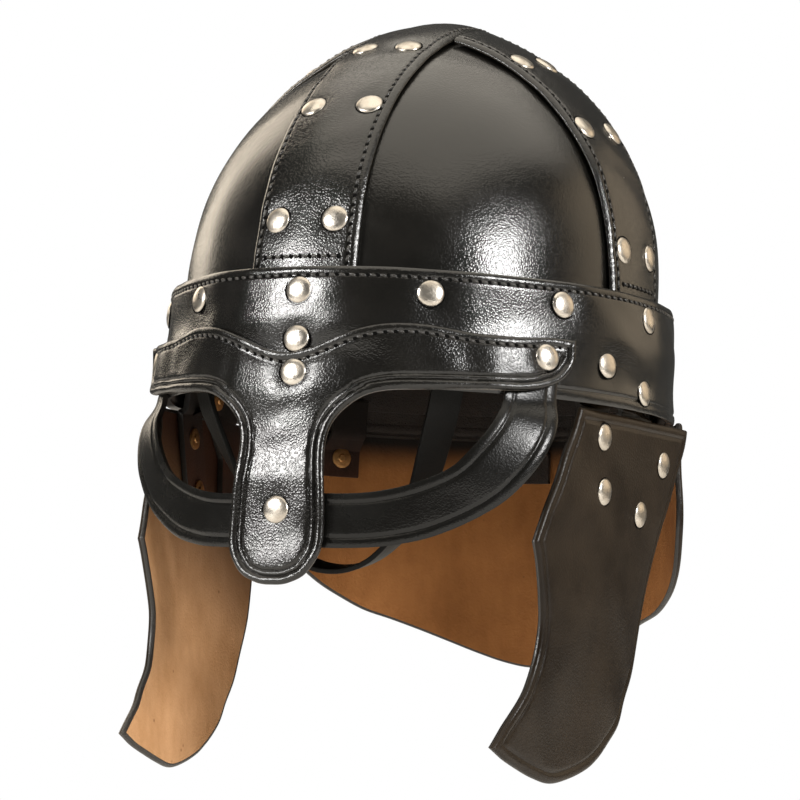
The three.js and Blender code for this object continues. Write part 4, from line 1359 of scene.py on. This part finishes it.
# Hanger straps: short straps on the flesh side, riveted to the band above and to a guard below,
# so that the guards can swing. Cut from thinner brown hide and left undyed on the flesh side.
INSIDE_SEAT = 0.0008
HANGER_THICK = 0.0022
HANGER_OFF = -PANEL_THICK - INSIDE_SEAT
HANGER_BEND_TOP = 0.0012
HANGER_BEND_FOOT = -0.0016
CHEEK_HANGERS = {
    # z, middle y, half width
    "front": (
        (0.0210, -0.0335, 0.0085),
        (HANGER_BEND_TOP, -0.0310, 0.0095),
        (HANGER_BEND_FOOT, -0.0307, 0.0095),
        (-0.0200, -0.0280, 0.0095),
        (-0.0385, -0.0253, 0.0085),
    ),
    "rear": (
        (0.0140, -0.0055, 0.0090),
        (HANGER_BEND_TOP, 0.0005, 0.0120),
        (HANGER_BEND_FOOT, 0.0020, 0.0130),
        (-0.0170, 0.0150, 0.0155),
        (-0.0270, 0.0130, 0.0145),
        (-0.0450, 0.0065, 0.0090),
    ),
}
NECK_HANGERS = {"left": 132, "back": 180, "right": 228}
NECK_HANGER_ROWS = (
    # z, 0 on the crown or 1 on the guard
    (0.0150, 0),
    (0.0010, 0),
    (-0.0055, 1),
    (-0.0175, 1),
)
NECK_HANGER_HALF = 4.6
HANGER_FLESH = (0.05, 0.017, 0.007, 1)
HANGER_FLESH_DARK = (0.02, 0.0078, 0.004, 1)
# Painted shade: the hanger straps turn nearly black towards their tops, in the shade inside the band
HANGER_PAINTED_SHADE = (0.006, 0.004, 0.003, 1)
HANGER_PAINTED_SHADE_FROM = -0.02
HANGER_PAINTED_SHADE_FULL = 0.004
HANGER_STATIONS = 36
HANGER_ROWS = (-1, -0.94, -0.8, -0.4, 0, 0.4, 0.8, 0.94, 1)

hanger_flesh = flesh(
    "hanger_flesh",
    HANGER_FLESH,
    HANGER_FLESH_DARK,
    HANGER_FLESH_DARK,
    HANGER_PAINTED_SHADE,
    lean=0,
    from_z=HANGER_PAINTED_SHADE_FROM,
    full_z=HANGER_PAINTED_SHADE_FULL,
)


def straight(rows, stops):
    """Straight runs between rows, at stops that count along them from 0."""
    rows = np.asarray(rows, float)
    return np.stack([np.interp(stops, np.arange(len(rows)), column) for column in rows.T], 1)


def cheek_hanger_place(side, rows):
    """Stations go down from the band's inside to a cheek guard's, and rows go across."""

    def place(stop, share):
        row = straight(rows, stop)
        z, y = row[:, 0], row[:, 1] + share * row[:, 2]
        start = np.stack((np.zeros(len(y)), y, np.maximum(z, 0)), 1)
        high, high_out = cast(start, np.tile((float(side), 0.0, 0.0), (len(y), 1)))
        low, low_out = cheek_place(side, y, np.minimum(z, 0))
        high = high + high_out * HANGER_OFF
        low = low - low_out * (GUARD_THICK + 2 * GAP)
        bent = smooth(-z, -HANGER_BEND_TOP, -HANGER_BEND_FOOT)[:, None]
        return high + (low - high) * bent, high_out + (low_out - high_out) * bent

    return place


def neck_hanger_place(angle):
    """Stations go down from the band's inside to the neck guard's, and rows go across."""

    def place(stop, share):
        row = straight(NECK_HANGER_ROWS, stop)
        spot, outward = neck_place(np.radians(angle + share * NECK_HANGER_HALF), row[:, 0])
        off = HANGER_OFF + (NECK_LIFT - GAP - HANGER_OFF) * np.clip(row[:, 1], 0, 1)
        return spot + outward * off[:, None], outward

    return place


hangers = {}
for hanger_part, hanger_rows in CHEEK_HANGERS.items():
    for hanger_name, hanger_side in (("left", 1), ("right", -1)):
        hanger_node = "cheek_hanger_" + hanger_part + "_" + hanger_name
        stations = np.linspace(0, len(hanger_rows) - 1, HANGER_STATIONS)
        hangers[hanger_node] = strip(
            hanger_node + "_leather", stations, HANGER_ROWS, cheek_hanger_place(hanger_side, hanger_rows)
        )
for hanger_name, hanger_angle in NECK_HANGERS.items():
    stations = np.linspace(0, len(NECK_HANGER_ROWS) - 1, HANGER_STATIONS)
    hangers["neck_hanger_" + hanger_name] = strip(
        "neck_hanger_" + hanger_name + "_leather", stations, HANGER_ROWS, neck_hanger_place(hanger_angle)
    )
for hanger_node, hanger in hangers.items():
    hanger_inside = dark_flesh if hanger_node == "neck_hanger_back" else hanger_flesh
    thicken(hanger, HANGER_THICK, STRAP_EDGE_ROUND, (guard_grain, hanger_inside, black_edge))
    fit(hanger, hanger_node)

# Chin strap: a narrow black strap of soft dull leather, sewn inside the band above both eyes.
# It hangs between its ends as one loop, and turns flat towards the bottom of it.
CHIN_THICK = 0.002
CHIN_WIDTH = 0.012
CHIN_CANT = 12
CHIN_FLAT_ANGLE = 36
CHIN_SEWN_Z = (0.025, 0.011)
CHIN_PATH = (
    # x, y, z
    (0.0495, -0.0825, -0.0040),
    (0.0435, -0.0780, -0.0200),
    (0.0365, -0.0730, -0.0360),
    (0.0275, -0.0690, -0.0500),
    (0.0145, -0.0668, -0.0605),
    (0.0000, -0.0660, -0.0640),
)
CHIN_STATIONS = 120
CHIN_TWIST_FROM = 0.1
CHIN_TWIST_FULL = 0.75
CHIN_AHEAD = 0.01
CHIN_EDGE_ROUND = 0.0005

chin_spot, chin_out = wall_at(np.full(2, math.radians(CHIN_FLAT_ANGLE)), np.array(CHIN_SEWN_Z))
chin_in = -PANEL_THICK - INSIDE_SEAT - GAP - CHIN_THICK / 2
chin_half = np.concatenate((chin_spot + chin_out * chin_in, CHIN_PATH))
chin_line = np.concatenate((chin_half, (chin_half * (-1, 1, 1))[-2::-1]))
_, chin_wall = wall_at(np.array([math.radians(CHIN_FLAT_ANGLE)]), np.zeros(1))


def chin_place(stop, share):
    """Stations go round the loop from one sewn end to the other, and rows go across."""
    spot = through_points(chin_line, stop)
    along = through_points(chin_line, stop + CHIN_AHEAD) - through_points(chin_line, stop - CHIN_AHEAD)
    along /= np.linalg.norm(along, axis=1)[:, None]
    middle = (len(chin_line) - 1) / 2
    side = np.where(stop < middle, 1.0, -1.0)
    flat = np.stack((-side * chin_wall[0, 1], np.full(len(stop), chin_wall[0, 0]), np.zeros(len(stop))), 1)
    cant = math.radians(CHIN_CANT)
    level = np.tile((0, math.cos(cant), math.sin(cant)), (len(stop), 1))
    twist = smooth(np.abs(stop / middle - 1), CHIN_TWIST_FROM, CHIN_TWIST_FULL)[:, None]
    across = level + (flat - level) * twist
    across -= along * np.sum(across * along, 1)[:, None]
    across /= np.linalg.norm(across, axis=1)[:, None]
    outward = np.cross(along, across)
    return spot + across * (share * CHIN_WIDTH / 2)[:, None] + outward * CHIN_THICK / 2, outward


chin = strip("chin_strap_leather", np.linspace(0, len(chin_line) - 1, CHIN_STATIONS), HANGER_ROWS, chin_place)
chin_grain = leather(
    "chin_grain", BLACK_DYE, BLACK_DYE, roughness=0.5, pebble=1050, wrinkle=150, depth=0.15, specular=0.15
)
thicken(chin, CHIN_THICK, CHIN_EDGE_ROUND, (chin_grain, chin_grain, chin_grain))
fit(chin, "chin_strap")

# Rivets: pale nickel caps, domed and set by hand, most with a brass burr washer on the flesh side.
# They hold the straps, the band, the visor and every hanger strap. A thin black matte ring round the foot of
# each cap is painted shade where the cap meets the leather.
CAP_RADIUS = 0.0051
CAP_HEIGHT = 0.0015
CAP_SINK = 0.0001
CAP_FLATNESS = 2.2
CAP_SHOULDER = 0.55
SHADE_RING = 0.0005
SHADE_RING_RISE = 0.0002
SHADE_RING_DEPTH = 0.0006
WASHER_RADIUS = 0.0042
WASHER_THICK = 0.0009
WASHER_BORE = 0.0014
WASHER_LIP = 0.0005
WASHER_DISH = 0.0002
WASHER_SUNK = 0.3
BORE_LIP = 0.0004
BORE_DEPTH = 0.0005
CAP_SMOOTH_ANGLE = 50
WASHER_SMOOTH_ANGLE = 40
BARE_INSIDE = ("neck_band_rivet", "neck_rivet_back")
PROBE = 0.03
PROBE_TURN = 45
NICKEL = (0.6, 0.555, 0.49, 1)
NICKEL_DULL = (0.42, 0.37, 0.31, 1)
BRASS = (0.45, 0.25, 0.1, 1)
BRASS_DULL = (0.13, 0.062, 0.025, 1)


def metal(name, bright, dull, roughness):
    """Plated metal: soft handling marks, and tarnish in patches."""
    material = bpy.data.materials.new(name)
    material.use_nodes = True
    tree = material.node_tree
    skin = tree.nodes["Principled BSDF"]
    skin.inputs["Metallic"].default_value = 1
    place = node(tree, "TexCoord").outputs["Object"]
    patch = node(tree, "TexNoise", {"Vector": place, "Scale": 260, "Detail": 4}).outputs["Fac"]
    mask = node(tree, "MapRange", {"Value": patch, "From Min": 0.42, "From Max": 0.75}).outputs["Result"]
    tree.links.new(mix_colours(tree, mask, bright, dull), skin.inputs["Base Color"])
    rough = node(
        tree,
        "MapRange",
        {"Value": patch, "From Min": 0.3, "From Max": 0.7, "To Min": roughness, "To Max": roughness + 0.16},
    ).outputs["Result"]
    tree.links.new(rough, skin.inputs["Roughness"])
    scratch = node(tree, "TexNoise", {"Vector": place, "Scale": 700, "Detail": 3}).outputs["Fac"]
    relief = node(tree, "Bump", {"Height": scratch, "Strength": 0.25, "Distance": 0.0004})
    tree.links.new(relief.outputs["Normal"], skin.inputs["Normal"])
    return material


nickel = metal("nickel", NICKEL, NICKEL_DULL, roughness=0.24)
brass = metal("brass_burr", BRASS, BRASS_DULL, roughness=0.42)

bpy.ops.object.select_all(action="DESELECT")
bpy.ops.mesh.primitive_uv_sphere_add(segments=24, ring_count=16, radius=CAP_RADIUS)
cap_model = bpy.context.object
bpy.ops.object.mode_set(mode="EDIT")
bpy.ops.mesh.select_all(action="SELECT")
bpy.ops.mesh.bisect(plane_co=(0, 0, 0), plane_no=(0, 0, 1), clear_inner=True)
bpy.ops.object.mode_set(mode="OBJECT")
for vertex in cap_model.data.vertices:
    out = min(math.hypot(vertex.co.x, vertex.co.y) / CAP_RADIUS, 1)
    vertex.co.z = CAP_HEIGHT * (1 - out**CAP_FLATNESS) ** CAP_SHOULDER
bpy.ops.object.mode_set(mode="EDIT")
bpy.ops.mesh.select_all(action="DESELECT")
bpy.ops.mesh.select_non_manifold()
# A thin ring round the cap's foot, which carries painted shade
bpy.ops.mesh.extrude_edges_move(TRANSFORM_OT_translate={"value": (0, 0, SHADE_RING_RISE)})
wider = 1 + SHADE_RING / CAP_RADIUS
bpy.ops.transform.resize(value=(wider, wider, 1), center_override=(0, 0, 0))
bpy.ops.mesh.extrude_edges_move(TRANSFORM_OT_translate={"value": (0, 0, -SHADE_RING_DEPTH)})
bpy.ops.mesh.edge_face_add()
bpy.ops.object.mode_set(mode="OBJECT")
cap_model.data.materials.append(nickel)
cap_model.data.materials.append(painted_shade_black)
# Faces out past the cap's rim take the near-black matte: painted shade at the cap's foot
for face in cap_model.data.polygons:
    reach = max(math.hypot(*cap_model.data.vertices[corner].co.xy) for corner in face.vertices)
    face.material_index = int(reach > CAP_RADIUS + SHADE_RING / 2)
bpy.ops.object.shade_smooth_by_angle(angle=math.radians(CAP_SMOOTH_ANGLE))

bpy.ops.object.select_all(action="DESELECT")
bpy.ops.mesh.primitive_cylinder_add(vertices=20, radius=WASHER_RADIUS, depth=WASHER_THICK)
washer_model = bpy.context.object
bpy.ops.object.mode_set(mode="EDIT")
bpy.ops.mesh.select_all(action="DESELECT")
bpy.ops.object.mode_set(mode="OBJECT")
for face in washer_model.data.polygons:
    face.select = face.normal.z < -FLAT_FACE
bpy.ops.object.mode_set(mode="EDIT")
bpy.ops.mesh.inset(thickness=WASHER_LIP, depth=WASHER_DISH)
bpy.ops.mesh.inset(thickness=WASHER_RADIUS - WASHER_BORE - WASHER_LIP - BORE_LIP, depth=0)
bpy.ops.mesh.inset(thickness=BORE_LIP, depth=BORE_DEPTH)
bpy.ops.object.mode_set(mode="OBJECT")
washer_model.data.materials.append(brass)
bpy.ops.object.shade_smooth_by_angle(angle=math.radians(WASHER_SMOOTH_ANGLE))

leathers = [piece for piece in bpy.data.objects if piece.name.endswith("_leather")]
bpy.context.view_layer.update()


def turned_to(outward, at):
    """Stands a model upright on a spot of the leather."""
    return Matrix.Translation(at) @ Vector((0, 0, 1)).rotation_difference(outward).to_matrix().to_4x4()


def surface(start, way, reach):
    """First leather that a straight line meets, from all the pieces."""
    hits = []
    for piece in leathers:
        found, spot, _, _ = piece.ray_cast(start, way, distance=reach)
        if found:
            hits.append(((spot - start).length, spot))
    return min(hits)[1] if hits else None


def rivet(name, at, outward, solid=None, with_washer=True):
    """Sets a copy of the cap on the outermost leather, and a copy of the washer under the innermost."""
    at, outward = Vector(at), Vector(outward)
    aside = outward.orthogonal().normalized() * CAP_RADIUS
    heights = []
    for turn in range(0, 360, PROBE_TURN):
        rim = aside.copy()
        rim.rotate(Quaternion(outward, math.radians(turn)))
        found = surface(at + rim + outward * PROBE, -outward, 2 * PROBE)
        if found:
            heights.append((found - at).dot(outward))
    outside = at + outward * sorted(heights)[len(heights) // 2]
    cap = cap_model.copy()
    cap.data = cap_model.data.copy()
    cap.name = cap.data.name = name
    cap.data.transform(turned_to(outward, outside - outward * CAP_SINK))
    bpy.context.collection.objects.link(cap)
    if with_washer:
        inside = surface(at - outward * PROBE, outward, 2 * PROBE)
        burr = washer_model.copy()
        burr.data = washer_model.data.copy()
        burr.data.transform(turned_to(outward, inside - outward * WASHER_THICK * WASHER_SUNK))
        bpy.context.collection.objects.link(burr)
        hold(cap)
        burr.select_set(True)
        bpy.ops.object.join()
    fit(cap, solid)


for node_name in sorted(frame["nodes"]):
    if "rivet" not in node_name:
        continue
    middle = rivet_spots[node_name][None, :]
    if node_name.startswith("cheek_rivet"):
        cheek_side = 1 if node_name.endswith("_left") else -1
        _, way = cheek_place(cheek_side, middle[:, 1], middle[:, 2])
    else:
        way = wall_normal(middle)
    rivet(node_name + "_cap", middle[0], way[0], node_name, not node_name.startswith(BARE_INSIDE))

for rivet_rise, rivet_aside in RIDGE_RIVETS:
    for rivet_share in (-1, 1):
        for rivet_part, rise in (("front", rivet_rise), ("back", 180 - rivet_rise)):
            at, way = ridge_spot(np.array([float(rise)]), np.array([rivet_share * rivet_aside]))
            name = f"ridge_rivet_{rivet_part}_{rivet_rise}_{'left' if rivet_share > 0 else 'right'}"
            rivet(name, at[0], way[0])
for rivet_rise, rivet_aside in SIDE_RIVETS:
    for rivet_share in (-1, 1):
        for strap_name, strap_side in (("left", 1), ("right", -1)):
            aside = np.array([rivet_share * rivet_aside])
            at, way = side_spot(strap_side, np.array([float(rivet_rise)]), aside)
            name = f"side_rivet_{strap_name}_{rivet_rise}_{'back' if rivet_share > 0 else 'front'}"
            rivet(name, at[0], way[0])
bpy.data.objects.remove(cap_model)
bpy.data.objects.remove(washer_model)

# Studio: a plain pale floor under the helmet and white all round.
# Soft boxes light it from the front, the sides, above and behind. The camera looks up at it a little, from
# in front and from the wearer's left.
FLOOR_DROP = 0.2
FLOOR_SIZE = 2.5
FLOOR_PALE = (0.8, 0.79, 0.77, 1)
FILL_COLOUR = (0.92, 0.9, 0.84, 1)
FILL_STRENGTH = 0.1
bpy.ops.object.select_all(action="DESELECT")
bpy.ops.mesh.primitive_plane_add(size=FLOOR_SIZE, location=(0, 0, -FLOOR_DROP))
floor = bpy.context.object
floor.name = "studio_floor"
floor_paint = bpy.data.materials.new("pale_floor")
floor_paint.use_nodes = True
floor_coat = floor_paint.node_tree.nodes["Principled BSDF"]
floor_coat.inputs["Base Color"].default_value = FLOOR_PALE
floor_coat.inputs["Roughness"].default_value = 0.7
floor.data.materials.append(floor_paint)

world = bpy.data.worlds.new("studio")
bpy.context.scene.world = world
world.use_nodes = True
sky = world.node_tree
sky.nodes.clear()
fill = node(sky, "Background", {"Color": FILL_COLOUR, "Strength": FILL_STRENGTH})
white = node(sky, "Background", {"Color": (1, 1, 1, 1), "Strength": 1})
seen = node(sky, "LightPath").outputs["Is Camera Ray"]
both = node(sky, "MixShader", {0: seen, 1: fill.outputs[0], 2: white.outputs[0]})
sky.links.new(both.outputs[0], node(sky, "OutputWorld").inputs["Surface"])

SOFT_BOXES = (
    # name, place, width, height, power, colour
    ("front_box", (-0.67, -1.26, 0.464), 0.42, 0.34, 22, (1, 0.985, 0.96)),
    ("right_box", (1.37, -0.367, 0.488), 0.34, 0.32, 21, (1, 0.99, 0.975)),
    ("top_box", (0.1, 0.0, 1.5), 2.2, 2.2, 27, (1, 0.925, 0.8)),
    ("left_rim_box", (-1.187, 0.528, 0.75), 0.64, 1.05, 6.3, (1, 0.87, 0.7)),
    ("right_wall", (1.0, 0.97, 0.53), 1.1, 0.95, 3.7, (1, 0.8, 0.56)),
)
for box_name, box_place, box_width, box_height, box_power, box_colour in SOFT_BOXES:
    lamp = bpy.data.lights.new(box_name, "AREA")
    lamp.shape = "RECTANGLE"
    lamp.size = box_width
    lamp.size_y = box_height
    lamp.energy = box_power
    lamp.color = box_colour
    box = bpy.data.objects.new(box_name, lamp)
    box.location = box_place
    box.rotation_euler = (-Vector(box_place)).to_track_quat("-Z", "Y").to_euler()
    bpy.context.collection.objects.link(box)

CAMERA_SPOT = Vector((0.5745, -1.1932, -0.1229))
CAMERA_AIM = Vector((-0.0070, -0.0041, 0.0063))
CAMERA_ROLL = 2.065
CAMERA_LENS = 151.7
CAMERA_SENSOR = 36
lens = bpy.data.cameras.new("camera")
lens.lens = CAMERA_LENS
lens.sensor_width = CAMERA_SENSOR
camera = bpy.data.objects.new("camera", lens)
camera.location = CAMERA_SPOT
look = (CAMERA_AIM - CAMERA_SPOT).to_track_quat("-Z", "Y").to_matrix()
camera.rotation_euler = (look @ Matrix.Rotation(math.radians(CAMERA_ROLL), 3, "Z")).to_euler()
bpy.context.collection.objects.link(camera)
bpy.context.scene.camera = camera
bpy.context.scene.view_settings.view_transform = "Standard"
